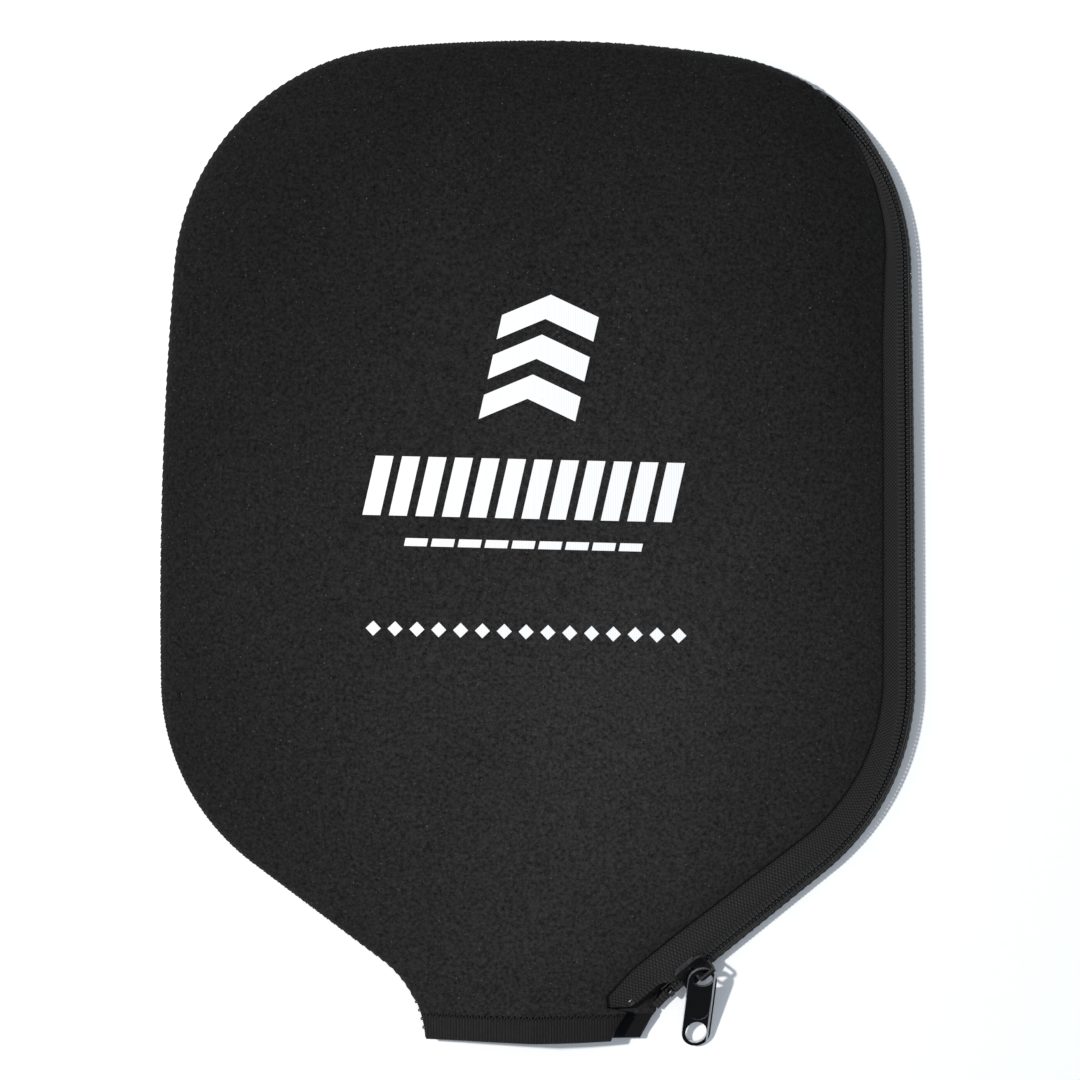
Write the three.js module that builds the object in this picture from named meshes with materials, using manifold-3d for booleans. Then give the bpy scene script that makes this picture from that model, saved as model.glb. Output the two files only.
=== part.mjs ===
// A padded neoprene cover for one paddle, lying on its back panel: X across, Y from the neck hem
// up to the crown, Z up from the table. Millimetres and degrees throughout.
// The left side and the crown are a closed seam; a coil zip runs from the right shoulder down the
// right side and along the diagonal to the open neck.
import * as THREE from "three";
import Module from "manifold-3d";

const wasm = await Module();
wasm.setup();

// ---------------------------------------------------------------- driving dimensions

const CASE_LENGTH = 285.6;
const NEOPRENE = 3;
const GAP = 0.3;

// Each half of the outline runs from the crown's middle down to the hem as tangent arcs and one
// straight diagonal. The zip side hangs a little fuller than the sewn side.
const CLOSED_HALF = {
  mirror: -1,
  crown: { radius: 500, turn: 4.8 },
  corner: { radius: 68.5, turn: 80.5 },
  side: { radius: 1190, length: 119.2 },
  lower: { radius: 65.5, turn: 52.1 },
  diagonal: 46,
  throatRadius: 30,
};
const ZIP_HALF = {
  mirror: 1,
  crown: { radius: 338, turn: 9.4 },
  corner: { radius: 61.1, turn: 79.6 },
  side: { radius: 7500, length: 119.5 },
  lower: { radius: 69.7, turn: 51.1 },
  diagonal: 56,
  throatRadius: 30,
};

// The puff of the front panel: it stands this high at its edge and rises by this much.
const FRONT_EDGE_TOP = 6.4;
const BODY_RISE = 13.1;
const NECK_RISE = 8;
const PUFF_WIDTH = 60;
const PUFF_POWER = 2.2;
const NECK_BLEND_HEIGHT = 120;

// The closed seam: both panels curl to this height, and its thread runs in the groove outside.
const SEAM_HEIGHT = 4.5;
const SEAM_SETBACK = 0.5;
const CURL_WIDTH = 9;
const BACK_CURL = 2.4;
const EDGE_ROUNDING = 0.8;
const EDGE_ROUNDING_WIDTH = 1.2;

// The zip: 6 mm coil chain on woven tape.
const ZIP_START = 82;
const STRAND_INNER = 0.9;
const STRAND_OUTER = 3;
const STRAND_BOTTOM = -0.15;
const STRAND_TOP = 1.2;
const TAPE_LEVEL = -0.62;
const TAPE_HALF = 0.27;
const TAPE_UNDERLAP = 5.5;
const BACK_EDGE_SETBACK = 3.4;
const ZIP_EDGE_LIFT = 0.3;
const ZIP_EDGE_LIFT_WIDTH = 4;
const ZIP_EDGE_DIP = 1.4;
const ZIP_EDGE_DIP_WIDTH = 1.9;
const BACK_TAPE_OVERHANG = 0.3;
const BACK_TAPE_TURN = [
  [0.4, 1.7],
  [0.65, 1.0],
  [1.35, 0.58],
  [BACK_EDGE_SETBACK - 0.4, 0.5],
];
const STRAND_END_HEIGHT = 12.1;

// The slider and its straight run along the diagonal.
const SLIDER_REST = 46.5;
const SLIDER_TRAVEL = 40;

// The hem round the neck mouth.
const HEM_HEIGHT = 8;
const BAND = 0.8;
const HEM_EDGE = 0.95;
const HEM_LIFT = 1.75;
const FRONT_HEM_SHORT = 9;

// ---------------------------------------------------------------- small helpers

const radians = THREE.MathUtils.degToRad;

function smoothstep(value, from, to) {
  const t = THREE.MathUtils.clamp((value - from) / (to - from), 0, 1);
  return t * t * (3 - 2 * t);
}

function interpolate(knots, at) {
  if (at <= knots[0][0]) return knots[0][1];
  for (let i = 1; i < knots.length; i++) {
    const [x0, y0] = knots[i - 1];
    const [x1, y1] = knots[i];
    if (at <= x1) return y0 + ((y1 - y0) * (at - x0)) / (x1 - x0);
  }
  return knots[knots.length - 1][1];
}

function evenly(from, to, count) {
  return Array.from({ length: count + 1 }, (_, i) => from + ((to - from) * i) / count);
}

// ---------------------------------------------------------------- the outline

// The outline's runs as pairs of curvature and length; walking them turns right all the way,
// except in the throat, which turns back towards the neck.
function outlineRuns(half) {
  const arc = ({ radius, turn }) => ({ bend: -1 / radius, length: radius * radians(turn) });
  return [
    arc(half.crown),
    arc(half.corner),
    { bend: -1 / half.side.radius, length: half.side.length },
    arc(half.lower),
    { bend: 0, length: half.diagonal },
    { bend: 1 / half.throatRadius, length: half.throatRadius * radians(70) },
  ];
}

function runStart(half, index) {
  return outlineRuns(half)
    .slice(0, index)
    .reduce((sum, run) => sum + run.length, 0);
}

// The outline point a given length along one half, with its unit normal into the case.
function outlineAt(half, length) {
  let x = 0;
  let y = CASE_LENGTH;
  let heading = 0;
  let left = length;
  for (const run of outlineRuns(half)) {
    const step = Math.min(left, run.length);
    const next = heading + run.bend * step;
    if (run.bend === 0) {
      x += step * Math.cos(heading);
      y += step * Math.sin(heading);
    } else {
      x += (Math.sin(next) - Math.sin(heading)) / run.bend;
      y -= (Math.cos(next) - Math.cos(heading)) / run.bend;
    }
    heading = next;
    left -= step;
    if (left <= 0) break;
  }
  return {
    x: half.mirror * x,
    y,
    inX: half.mirror * Math.sin(heading),
    inY: -Math.cos(heading),
  };
}

// How far along one half the outline comes down to a height.
function lengthAtHeight(half, height) {
  let low = 0;
  let high = runStart(half, 6);
  for (let i = 0; i < 40; i++) {
    const middle = (low + high) / 2;
    if (outlineAt(half, middle).y > height) low = middle;
    else high = middle;
  }
  return (low + high) / 2;
}

const OUTLINE_STEPS = 150;
const OUTLINE_SAMPLES = [CLOSED_HALF, ZIP_HALF].flatMap((half) => {
  const end = lengthAtHeight(half, 0);
  return evenly(0, end, OUTLINE_STEPS).map((s) => ({ half, s, ...outlineAt(half, s) }));
});

// Distance from a point to the sewn and zipped outline (the neck line doesn't count), with the
// half and the length along it where the nearest point lies.
function nearestOutline(x, y) {
  let best = { distance: Infinity, half: CLOSED_HALF, s: 0 };
  for (let i = 1; i < OUTLINE_SAMPLES.length; i++) {
    const a = OUTLINE_SAMPLES[i - 1];
    const b = OUTLINE_SAMPLES[i];
    if (a.half !== b.half) continue;
    const dx = b.x - a.x;
    const dy = b.y - a.y;
    const t = THREE.MathUtils.clamp(
      ((x - a.x) * dx + (y - a.y) * dy) / (dx * dx + dy * dy),
      0,
      1,
    );
    const distance = Math.hypot(x - a.x - t * dx, y - a.y - t * dy);
    if (distance < best.distance) best = { distance, half: a.half, s: a.s + t * (b.s - a.s) };
  }
  return best;
}

// 0 along the closed seam, 1 along the zip.
function zipShare(half, s) {
  return half === ZIP_HALF ? smoothstep(s, ZIP_START - 10, ZIP_START - 2) : 0;
}

// ---------------------------------------------------------------- the panels' surfaces

// How far a panel is squeezed for the hem band: fully below the band's top, none just above it.
function hemShare(y) {
  return THREE.MathUtils.clamp((HEM_HEIGHT + 0.65 - y) / 0.3, 0, 1);
}

function frontUnsqueezed(x, y) {
  const { distance, half, s } = nearestOutline(x, y);
  const rise = NECK_RISE + (BODY_RISE - NECK_RISE) * smoothstep(y, 0, NECK_BLEND_HEIGHT);
  const inward = Math.min(distance / PUFF_WIDTH, 1);
  const puff = rise * (1 - (1 - inward) ** PUFF_POWER);
  const rounded = EDGE_ROUNDING * Math.exp(-distance / EDGE_ROUNDING_WIDTH);
  const roundedEdge = rounded * (1 - zipShare(half, s));
  const top = FRONT_EDGE_TOP + puff - roundedEdge;
  const under = Math.max(top - NEOPRENE, SEAM_HEIGHT + GAP / 2 + 0.1 * distance);
  return { top, under };
}

function frontTop(x, y) {
  const { top, under } = frontUnsqueezed(x, y);
  return top - hemShare(y) * Math.min(BAND + GAP, 0.5 * (top - under));
}

function frontUnder(x, y) {
  return frontUnsqueezed(x, y).under;
}

// 0 beside the hem band, 1 just above it, where the zip's tape begins.
function aboveHem(y) {
  return smoothstep(y, HEM_HEIGHT + 1, HEM_HEIGHT + 3.5);
}

function backEdge(half, s, y) {
  const zipped = SEAM_SETBACK + (BACK_EDGE_SETBACK - SEAM_SETBACK) * zipShare(half, s);
  return THREE.MathUtils.lerp(SEAM_SETBACK, zipped, aboveHem(y));
}

function backUnder(x, y) {
  const { distance, half, s } = nearestOutline(x, y);
  const share = zipShare(half, s);
  const curl = BACK_CURL * Math.max(1 - distance / CURL_WIDTH, 0) ** 2;
  const inFromEdge = Math.max(distance - BACK_EDGE_SETBACK, 0);
  const zipLift = ZIP_EDGE_LIFT * Math.max(1 - inFromEdge / ZIP_EDGE_LIFT_WIDTH, 0) ** 2;
  const under = THREE.MathUtils.lerp(curl, zipLift, share);
  return Math.max(under, HEM_LIFT * hemShare(y));
}

function backTop(x, y) {
  const { distance, half, s } = nearestOutline(x, y);
  const share = zipShare(half, s);
  const curled = SEAM_HEIGHT - GAP / 2 - NEOPRENE;
  const curl = curled * Math.max(1 - distance / CURL_WIDTH, 0) ** 2;
  const inFromEdge = Math.max(distance - BACK_EDGE_SETBACK, 0);
  const pressed = ZIP_EDGE_DIP * Math.max(1 - inFromEdge / ZIP_EDGE_DIP_WIDTH, 0) ** 2;
  const dip = pressed * aboveHem(y);
  return NEOPRENE + (1 - share) * curl - share * dip;
}

// ---------------------------------------------------------------- solids from points

// Welds corners, drops collapsed triangles and turns the surface to face outwards.
function closedGeometry(points, triangles) {
  const seen = new Map();
  const flat = [];
  const index = points.map((p) => {
    const key = p.map((v) => Math.round(v * 1e4)).join(",");
    if (!seen.has(key)) {
      seen.set(key, seen.size);
      flat.push(...p);
    }
    return seen.get(key);
  });
  let kept = triangles
    .map((t) => t.map((i) => index[i]))
    .filter(([a, b, c]) => a !== b && b !== c && a !== c);
  const corner = (i) => new THREE.Vector3(flat[3 * i], flat[3 * i + 1], flat[3 * i + 2]);
  const volume = kept.reduce(
    (sum, [a, b, c]) => sum + corner(a).dot(corner(b).cross(corner(c))),
    0,
  );
  if (volume < 0) kept = kept.map(([a, b, c]) => [a, c, b]);
  const geometry = new THREE.BufferGeometry();
  geometry.setAttribute("position", new THREE.Float32BufferAttribute(flat, 3));
  geometry.setIndex(kept.flat());
  return geometry;
}

function toSolid(geometry) {
  const plain = geometry.index ? geometry.toNonIndexed() : geometry;
  const position = plain.getAttribute("position");
  const points = [];
  for (let i = 0; i < position.count; i++) {
    points.push([position.getX(i), position.getY(i), position.getZ(i)]);
  }
  const triangles = evenly(0, position.count / 3 - 1, position.count / 3 - 1).map((i) => [
    3 * Math.round(i),
    3 * Math.round(i) + 1,
    3 * Math.round(i) + 2,
  ]);
  const welded = closedGeometry(points, triangles);
  return new wasm.Manifold(
    new wasm.Mesh({
      numProp: 3,
      vertProperties: welded.getAttribute("position").array,
      triVerts: new Uint32Array(welded.index.array),
    }),
  );
}

function fromSolid(solid) {
  const { vertProperties, triVerts, numProp } = solid.getMesh();
  const points = [];
  for (let i = 0; i < vertProperties.length; i += numProp) {
    points.push([vertProperties[i], vertProperties[i + 1], vertProperties[i + 2]]);
  }
  const triangles = [];
  for (let i = 0; i < triVerts.length; i += 3) {
    triangles.push([triVerts[i], triVerts[i + 1], triVerts[i + 2]]);
  }
  return closedGeometry(points, triangles);
}

// A solid through a row of rings. Each ring is a list of [a, b] in its own section plane, and
// place(station, a, b) puts one of its corners in space.
function sweep(stations, ringAt, place) {
  const rings = stations.map(ringAt);
  const size = rings[0].length;
  const points = rings.flatMap((ring, k) => ring.map(([a, b]) => place(stations[k], a, b)));
  const triangles = [];
  for (let k = 0; k + 1 < rings.length; k++) {
    for (let i = 0; i < size; i++) {
      const j = (i + 1) % size;
      const near = k * size;
      const far = near + size;
      triangles.push([near + i, near + j, far + j], [near + i, far + j, far + i]);
    }
  }
  const cap = (ring) =>
    THREE.ShapeUtils.triangulateShape(
      ring.map(([a, b]) => new THREE.Vector2(a, b)),
      [],
    );
  const first = ringIsClockwise(rings[0]);
  const last = (rings.length - 1) * size;
  cap(rings[0]).forEach(([a, b, c]) => triangles.push(first ? [a, b, c] : [a, c, b]));
  cap(rings.at(-1)).forEach(([a, b, c]) =>
    triangles.push(first ? [last + a, last + c, last + b] : [last + a, last + b, last + c]),
  );
  return closedGeometry(points, triangles);
}

function ringIsClockwise(ring) {
  return THREE.ShapeUtils.area(ring.map(([a, b]) => new THREE.Vector2(a, b))) < 0;
}

// A thin strip's closed section from the path of its middle.
function stripRing(path, halfThickness) {
  const offset = (sign) =>
    path.map(([a, b], i) => {
      const [a0, b0] = path[Math.max(i - 1, 0)];
      const [a1, b1] = path[Math.min(i + 1, path.length - 1)];
      const run = Math.hypot(a1 - a0, b1 - b0);
      return [
        a - (sign * halfThickness * (b1 - b0)) / run,
        b + (sign * halfThickness * (a1 - a0)) / run,
      ];
    });
  return [...offset(1), ...offset(-1).reverse()];
}

// ---------------------------------------------------------------- panels

const NECK_ROWS_FROM = 12;
const ROWS_PER_RUN = [3, 12, 5, 7, 3, 5];
const RING_DISTANCES = [0, 1.5, 4, 9, 16];
const INNER_SHARES = [0.25, 0.58, 1];

// Lengths along one half where the rows start: each run of the outline in equal steps.
function rowLengths(half) {
  const lengths = [0];
  ROWS_PER_RUN.forEach((count, run) => {
    const from = runStart(half, run);
    const isLast = run === ROWS_PER_RUN.length - 1;
    const to = isLast ? lengthAtHeight(half, NECK_ROWS_FROM) : runStart(half, run + 1);
    lengths.push(...evenly(from, to, count).slice(1));
  });
  return lengths;
}

// Rows across the case from the sewn edge to the spine on X = 0 and on to the zipped edge.
function panelRows(edgeSetback, hemSetback) {
  const closedLengths = rowLengths(CLOSED_HALF);
  const zippedLengths = rowLengths(ZIP_HALF);
  const rows = closedLengths.map((closedLength, i) => {
    const [closed, zipped] = [
      [CLOSED_HALF, closedLength],
      [ZIP_HALF, zippedLengths[i]],
    ].map(([half, s]) => {
      const at = outlineAt(half, s);
      const inset = edgeSetback(half, s, at.y);
      return { x: at.x + at.inX * inset, y: at.y + at.inY * inset, height: at.y };
    });
    return { closed, spine: spineHeight((closed.height + zipped.height) / 2), zipped };
  });
  const hemTop = HEM_HEIGHT + 0.65;
  for (const y of [hemTop, hemTop - 0.3, HEM_HEIGHT / 2, HEM_EDGE + GAP]) {
    const edge = (half) => {
      const reach = Math.abs(outlineAt(half, lengthAtHeight(half, y)).x);
      return { x: half.mirror * (reach - hemSetback(half)), y };
    };
    rows.push({ closed: edge(CLOSED_HALF), spine: y, zipped: edge(ZIP_HALF) });
  }
  return rows.map(({ closed, spine, zipped }) => [
    ...acrossHalf(closed, spine),
    ...acrossHalf(zipped, spine).reverse().slice(1),
  ]);
}

// Where a row meets the spine: level with it at the neck, gathered towards the crown's centre.
function spineHeight(outlineHeight) {
  const neck = 12;
  const top = 178;
  if (outlineHeight <= neck) return outlineHeight;
  const share = (outlineHeight - neck) / (CASE_LENGTH - neck);
  return neck + (top - neck) * (1 - (1 - share) ** 1.6);
}

function acrossHalf(edge, spine) {
  const length = Math.hypot(edge.x, edge.y - spine);
  const last = RING_DISTANCES.at(-1);
  const distances = [...RING_DISTANCES, ...INNER_SHARES.map((f) => last + f * (length - last))];
  return distances.map((distance) => {
    const share = distance / length;
    return [edge.x * (1 - share), edge.y + (spine - edge.y) * share];
  });
}

// A closed slab between two height functions over the rows.
function slab(rows, topAt, underAt) {
  const width = rows[0].length;
  const flat = rows.flat();
  const points = [
    ...flat.map(([x, y]) => [x, y, topAt(x, y)]),
    ...flat.map(([x, y]) => [x, y, underAt(x, y)]),
  ];
  const below = flat.length;
  const triangles = [];
  const wall = (p, q) => triangles.push([q, p, p + below], [q, p + below, q + below]);
  for (let k = 0; k + 1 < rows.length; k++) {
    for (let j = 0; j + 1 < width; j++) {
      const a = k * width + j;
      const b = a + 1;
      const c = a + width;
      const d = c + 1;
      triangles.push([a, c, d], [a, d, b]);
      triangles.push([a + below, d + below, c + below], [a + below, b + below, d + below]);
    }
    wall(k * width, (k + 1) * width);
    wall((k + 2) * width - 1, (k + 1) * width - 1);
  }
  const bottomRow = (rows.length - 1) * width;
  for (let j = 0; j + 1 < width; j++) wall(bottomRow + j, bottomRow + j + 1);
  return closedGeometry(points, triangles);
}

function backPanel() {
  const rows = panelRows(backEdge, () => SEAM_SETBACK);
  return slab(rows, backTop, backUnder);
}

// How far the front panel's edge is set back from the outline: clear of the chain on the zip side.
function frontEdge(half, s) {
  if (half === CLOSED_HALF) return SEAM_SETBACK;
  return interpolate(
    [
      [ZIP_START - 20, SEAM_SETBACK],
      [ZIP_START - 3, 5.5],
      [ZIP_START + 40, 7],
      [runStart(ZIP_HALF, 2) + 10, 8.7],
      [runStart(ZIP_HALF, 3), 8.7],
      [runStart(ZIP_HALF, 4), 10.9],
      [runStart(ZIP_HALF, 5), 10.9],
      [zipEnd(), 12],
    ],
    s,
  );
}

function wholeFrontPanel() {
  const hemSetback = (half) => (half === ZIP_HALF ? FRONT_HEM_SHORT : SEAM_SETBACK);
  return slab(panelRows(frontEdge, hemSetback), frontTop, frontUnder);
}

// ---------------------------------------------------------------- the fold of the neck lip

const SLIDER_REST_S = runStart(ZIP_HALF, 4) + SLIDER_REST;
const SLIDER_OPEN_S = SLIDER_REST_S - SLIDER_TRAVEL;
const FOLD_START = { x: -26.5, y: 0 };

function foldEnd() {
  const at = outlineAt(ZIP_HALF, SLIDER_OPEN_S);
  const inset = frontEdge(ZIP_HALF, SLIDER_OPEN_S);
  return { x: at.x + at.inX * inset, y: at.y + at.inY * inset };
}

// A block that covers everything on one side of the fold line, stopping half a gap short of it.
function foldSide(side) {
  const end = foldEnd();
  const angle = Math.atan2(end.y - FOLD_START.y, end.x - FOLD_START.x);
  const reach = 600;
  const geometry = new THREE.BoxGeometry(2 * reach, reach, reach);
  geometry.translate(0, side * (reach / 2 + GAP), 0);
  geometry.rotateZ(angle);
  geometry.translate(FOLD_START.x, FOLD_START.y, 0);
  return toSolid(geometry);
}

// The part of a piece that lies on one side of the fold: 1 stays with the case, -1 folds up.
function cutAtFold(geometry, side) {
  return fromSolid(toSolid(geometry).intersect(foldSide(side)));
}

// ---------------------------------------------------------------- the zip

// The chain's middle at a length along the zip side: how far in from the outline, how high, and
// how far its face is tipped outwards.
function chainAt(s) {
  const diagonalStart = runStart(ZIP_HALF, 4);
  const shoulder = ZIP_START + 45;
  return {
    inset: interpolate(
      [
        [ZIP_START, 1.6],
        [shoulder, 2.2],
        [shoulder + 35, 3.1],
        [runStart(ZIP_HALF, 3), 3.1],
        [diagonalStart, 3.6],
      ],
      s,
    ),
    height: interpolate(
      [
        [ZIP_START, 4.8],
        [shoulder, 5.3],
        [runStart(ZIP_HALF, 3), 5.3],
        [diagonalStart, 5],
      ],
      s,
    ),
    tilt: radians(
      interpolate(
        [
          [ZIP_START, 44],
          [shoulder, 40],
          [shoulder + 35, 27],
          [runStart(ZIP_HALF, 3), 27],
          [diagonalStart, 38],
        ],
        s,
      ),
    ),
  };
}

// Past the slider the strands part: the front one swings in over the mouth and sinks a little,
// the back one keeps to the edge.
function strandParting(s) {
  return smoothstep(s, SLIDER_REST_S + 6, zipEnd());
}

function zipEnd() {
  return lengthAtHeight(ZIP_HALF, STRAND_END_HEIGHT);
}

// From chain coordinates (across towards the front panel, and out of the face) to the distance
// from the outline and the height.
function chainPoint(s, isFront, across, out) {
  const { inset, height, tilt } = chainAt(s);
  const parting = strandParting(s);
  const shift = isFront ? 2 * parting : -0.8 * parting;
  const sink = isFront ? 0.7 * parting : 0;
  return [
    inset + shift + across * Math.cos(tilt) - out * Math.sin(tilt),
    height - sink + across * Math.sin(tilt) + out * Math.cos(tilt),
  ];
}

function placeOnZipSide(s, inset, height) {
  const at = outlineAt(ZIP_HALF, s);
  return [at.x + at.inX * inset, at.y + at.inY * inset, height];
}

// Stations along the zip, closer together where it bends into the throat.
function zipStations(from, to) {
  const throat = runStart(ZIP_HALF, 5) - 2;
  const run = (a, b, step) => evenly(a, b, Math.max(1, Math.ceil((b - a) / step)));
  if (to <= throat) return run(from, to, 6);
  return [...run(from, throat, 6), ...run(throat, to, 2.2).slice(1)];
}

function coilRing(s, isFront) {
  const side = isFront ? 1 : -1;
  const rounding = 0.45;
  return [
    [STRAND_INNER, STRAND_BOTTOM],
    [STRAND_OUTER, STRAND_BOTTOM],
    [STRAND_OUTER, STRAND_TOP - rounding],
    [STRAND_OUTER - rounding, STRAND_TOP],
    [STRAND_INNER + rounding, STRAND_TOP],
    [STRAND_INNER, STRAND_TOP - rounding],
  ].map(([across, out]) => chainPoint(s, isFront, side * across, out));
}

function coil(from, to, isFront) {
  return sweep(zipStations(from, to), (s) => coilRing(s, isFront), placeOnZipSide);
}

// How far from the chain's middle the front tape stays in the chain's plane; along the diagonal
// it does so until it is clear of the slider.
function tapeFlat(s) {
  const diagonalStart = runStart(ZIP_HALF, 4);
  return interpolate(
    [
      [diagonalStart - 15, STRAND_OUTER + 0.2],
      [diagonalStart, STRAND_OUTER + 1.4],
      [SLIDER_REST_S + 6, STRAND_OUTER + 1.4],
      [zipEnd(), STRAND_OUTER + 0.4],
    ],
    s,
  );
}

// Where the front tape's middle passes under the front panel, a distance in from the outline.
function underFrontPanel(s, inset) {
  const [x, y] = placeOnZipSide(s, inset, 0);
  return [inset, frontUnder(x, y) - GAP - TAPE_HALF - 0.05];
}

// The front tape leaves the chain and runs on under the front panel's edge.
function frontTapeRing(s) {
  const edge = frontEdge(ZIP_HALF, s);
  const path = [
    chainPoint(s, true, STRAND_INNER, TAPE_LEVEL),
    chainPoint(s, true, tapeFlat(s), TAPE_LEVEL),
    underFrontPanel(s, edge),
    underFrontPanel(s, edge + TAPE_UNDERLAP / 2),
    underFrontPanel(s, edge + TAPE_UNDERLAP),
  ];
  return stripRing(path, TAPE_HALF);
}

function frontTape(from, to) {
  return sweep(zipStations(from, to), frontTapeRing, placeOnZipSide);
}

// The back tape turns down round the case's edge and in under the back panel's cut edge.
function backTapeRing(s) {
  const path = [
    chainPoint(s, false, -STRAND_INNER, TAPE_LEVEL),
    chainPoint(s, false, -STRAND_OUTER - BACK_TAPE_OVERHANG, TAPE_LEVEL),
    ...BACK_TAPE_TURN,
  ];
  return stripRing(path, TAPE_HALF);
}

function backTape() {
  return sweep(zipStations(ZIP_START, zipEnd()), backTapeRing, placeOnZipSide);
}

// ---------------------------------------------------------------- threads, stops and hem

const THREAD = 0.42;

function threadRing(a, b) {
  const r = THREAD / 2;
  return [
    [a + r, b],
    [a, b + r],
    [a - r, b],
    [a, b - r],
  ];
}

// The closed seam's thread fills the groove between the two panels from the hem's left end, over
// the crown, to the zip's upper end.
function closedSeamThread() {
  const closedEnd = lengthAtHeight(CLOSED_HALF, 0.6);
  const throat = runStart(CLOSED_HALF, 5) - 2;
  const closedLengths = [
    ...evenly(closedEnd, throat, 12),
    ...evenly(throat, 0, 56).slice(1),
  ];
  const stations = [
    ...closedLengths.map((s) => ({ half: CLOSED_HALF, s })),
    ...evenly(0, ZIP_START - 12, 12)
      .slice(1)
      .map((s) => ({ half: ZIP_HALF, s })),
  ];
  const halfWidth = 0.28;
  const halfHeight = 0.55;
  const ring = () => [
    [halfWidth / 2, SEAM_HEIGHT - halfHeight],
    [halfWidth / 2, SEAM_HEIGHT + halfHeight],
    [-halfWidth, SEAM_HEIGHT + halfHeight / 2],
    [-halfWidth, SEAM_HEIGHT - halfHeight / 2],
  ];
  return sweep(stations, ring, ({ half, s }, inset, height) => {
    const at = outlineAt(half, s);
    return [at.x + at.inX * inset, at.y + at.inY * inset, height];
  });
}

// Stitching that holds the front tape, on the tape just outside the panel's edge.
function frontZipStitching(from, to) {
  const ring = (s) => {
    const [outerAt, outerLevel] = chainPoint(s, true, tapeFlat(s), TAPE_LEVEL);
    const [edge, edgeLevel] = underFrontPanel(s, frontEdge(ZIP_HALF, s));
    const at = edge - 0.75;
    const share = (at - outerAt) / (edge - outerAt);
    const level = THREE.MathUtils.lerp(outerLevel, edgeLevel, share);
    return threadRing(at, level + TAPE_HALF + 0.55);
  };
  return sweep(zipStations(from, to), ring, placeOnZipSide);
}

// Stitching that holds the back tape, on the outside of its turn.
function backZipStitching() {
  return sweep(
    zipStations(ZIP_START + 1, zipEnd() - 1),
    () => threadRing(-0.25, 1.25),
    placeOnZipSide,
  );
}

// A metal stop clamped over the end of one strand.
function strandStop(s, isFront) {
  const side = isFront ? 1 : -1;
  const inner = STRAND_INNER - 0.25;
  const outer = STRAND_OUTER + 0.15;
  const ring = (at) =>
    [
      [inner, STRAND_BOTTOM - 0.05],
      [outer, STRAND_BOTTOM - 0.05],
      [outer, STRAND_TOP + 0.1],
      [outer - 0.6, STRAND_TOP + 0.6],
      [inner + 0.6, STRAND_TOP + 0.6],
      [inner, STRAND_TOP + 0.1],
    ].map(([across, out]) => chainPoint(at, isFront, side * across, out));
  return sweep(evenly(s, s + 1.6, 2), ring, placeOnZipSide);
}

// The stop at the zip's upper end bridges both strands.
function bottomStop() {
  const half = STRAND_OUTER + 0.1;
  const ring = (at) =>
    [
      [-half, STRAND_BOTTOM],
      [half, STRAND_BOTTOM],
      [half, STRAND_TOP + 0.3],
      [half - 0.7, STRAND_TOP + 0.7],
      [0.7 - half, STRAND_TOP + 0.7],
      [-half, STRAND_TOP + 0.3],
    ].map(([across, out]) => chainPoint(at, true, across, out));
  return sweep(evenly(ZIP_START + 0.4, ZIP_START + 2.4, 2), ring, placeOnZipSide);
}

// The point a share of the way across the neck, at a height above the mouth.
function acrossNeck(share, y, rightSetback) {
  const left = outlineAt(CLOSED_HALF, lengthAtHeight(CLOSED_HALF, y)).x + SEAM_SETBACK + 0.4;
  const right = outlineAt(ZIP_HALF, lengthAtHeight(ZIP_HALF, y)).x - rightSetback - 0.3;
  return [THREE.MathUtils.lerp(left, right, share), y];
}

const BAND_STATIONS = evenly(0, 1, 16);

function frontHemBand() {
  const place = (share, y, height) => [...acrossNeck(share, y, FRONT_HEM_SHORT), height];
  const top = (share, y) =>
    frontTop(...acrossNeck(share, Math.max(y, HEM_EDGE + GAP), FRONT_HEM_SHORT)) + GAP;
  const ring = (share) => {
    const edge = HEM_EDGE;
    const under = frontUnder(...acrossNeck(share, edge + GAP, FRONT_HEM_SHORT));
    const half = HEM_HEIGHT / 2;
    return [
      [0, under + 0.3],
      [0.3, under],
      [edge, under],
      [edge, top(share, edge)],
      [half, top(share, half)],
      [HEM_HEIGHT, top(share, HEM_HEIGHT)],
      [HEM_HEIGHT, top(share, HEM_HEIGHT) + BAND],
      [half, top(share, half) + BAND],
      [edge, top(share, edge) + BAND],
      [0, top(share, 0) + BAND - 0.6],
    ];
  };
  return sweep(BAND_STATIONS, ring, place);
}

function backHemBand() {
  const setback = SEAM_SETBACK;
  const place = (share, y, height) => [...acrossNeck(share, y, setback), height];
  const under = (share, y) =>
    backUnder(...acrossNeck(share, Math.max(y, HEM_EDGE + GAP), setback)) - 0.25;
  const ring = (share) => {
    const edge = HEM_EDGE;
    const top = backTop(...acrossNeck(share, edge + GAP, setback));
    const half = HEM_HEIGHT / 2;
    return [
      [0, top - 0.3],
      [0.3, top],
      [edge, top],
      [edge, under(share, edge)],
      [half, under(share, half)],
      [HEM_HEIGHT, under(share, HEM_HEIGHT)],
      [HEM_HEIGHT, under(share, HEM_HEIGHT) - BAND],
      [half, under(share, half) - BAND],
      [edge, under(share, edge) - BAND],
      [0, under(share, 0) - BAND + 0.3],
    ];
  };
  return sweep(BAND_STATIONS, ring, place);
}

function frontHemStitching() {
  const y = HEM_HEIGHT - 1.2;
  const ring = (share) => {
    const height = frontTop(...acrossNeck(share, y, FRONT_HEM_SHORT)) + GAP + BAND;
    return threadRing(y, height + 0.45);
  };
  return sweep(evenly(0.01, 0.99, 16), ring, (share, a, b) => [
    ...acrossNeck(share, a, FRONT_HEM_SHORT),
    b,
  ]);
}

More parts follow.
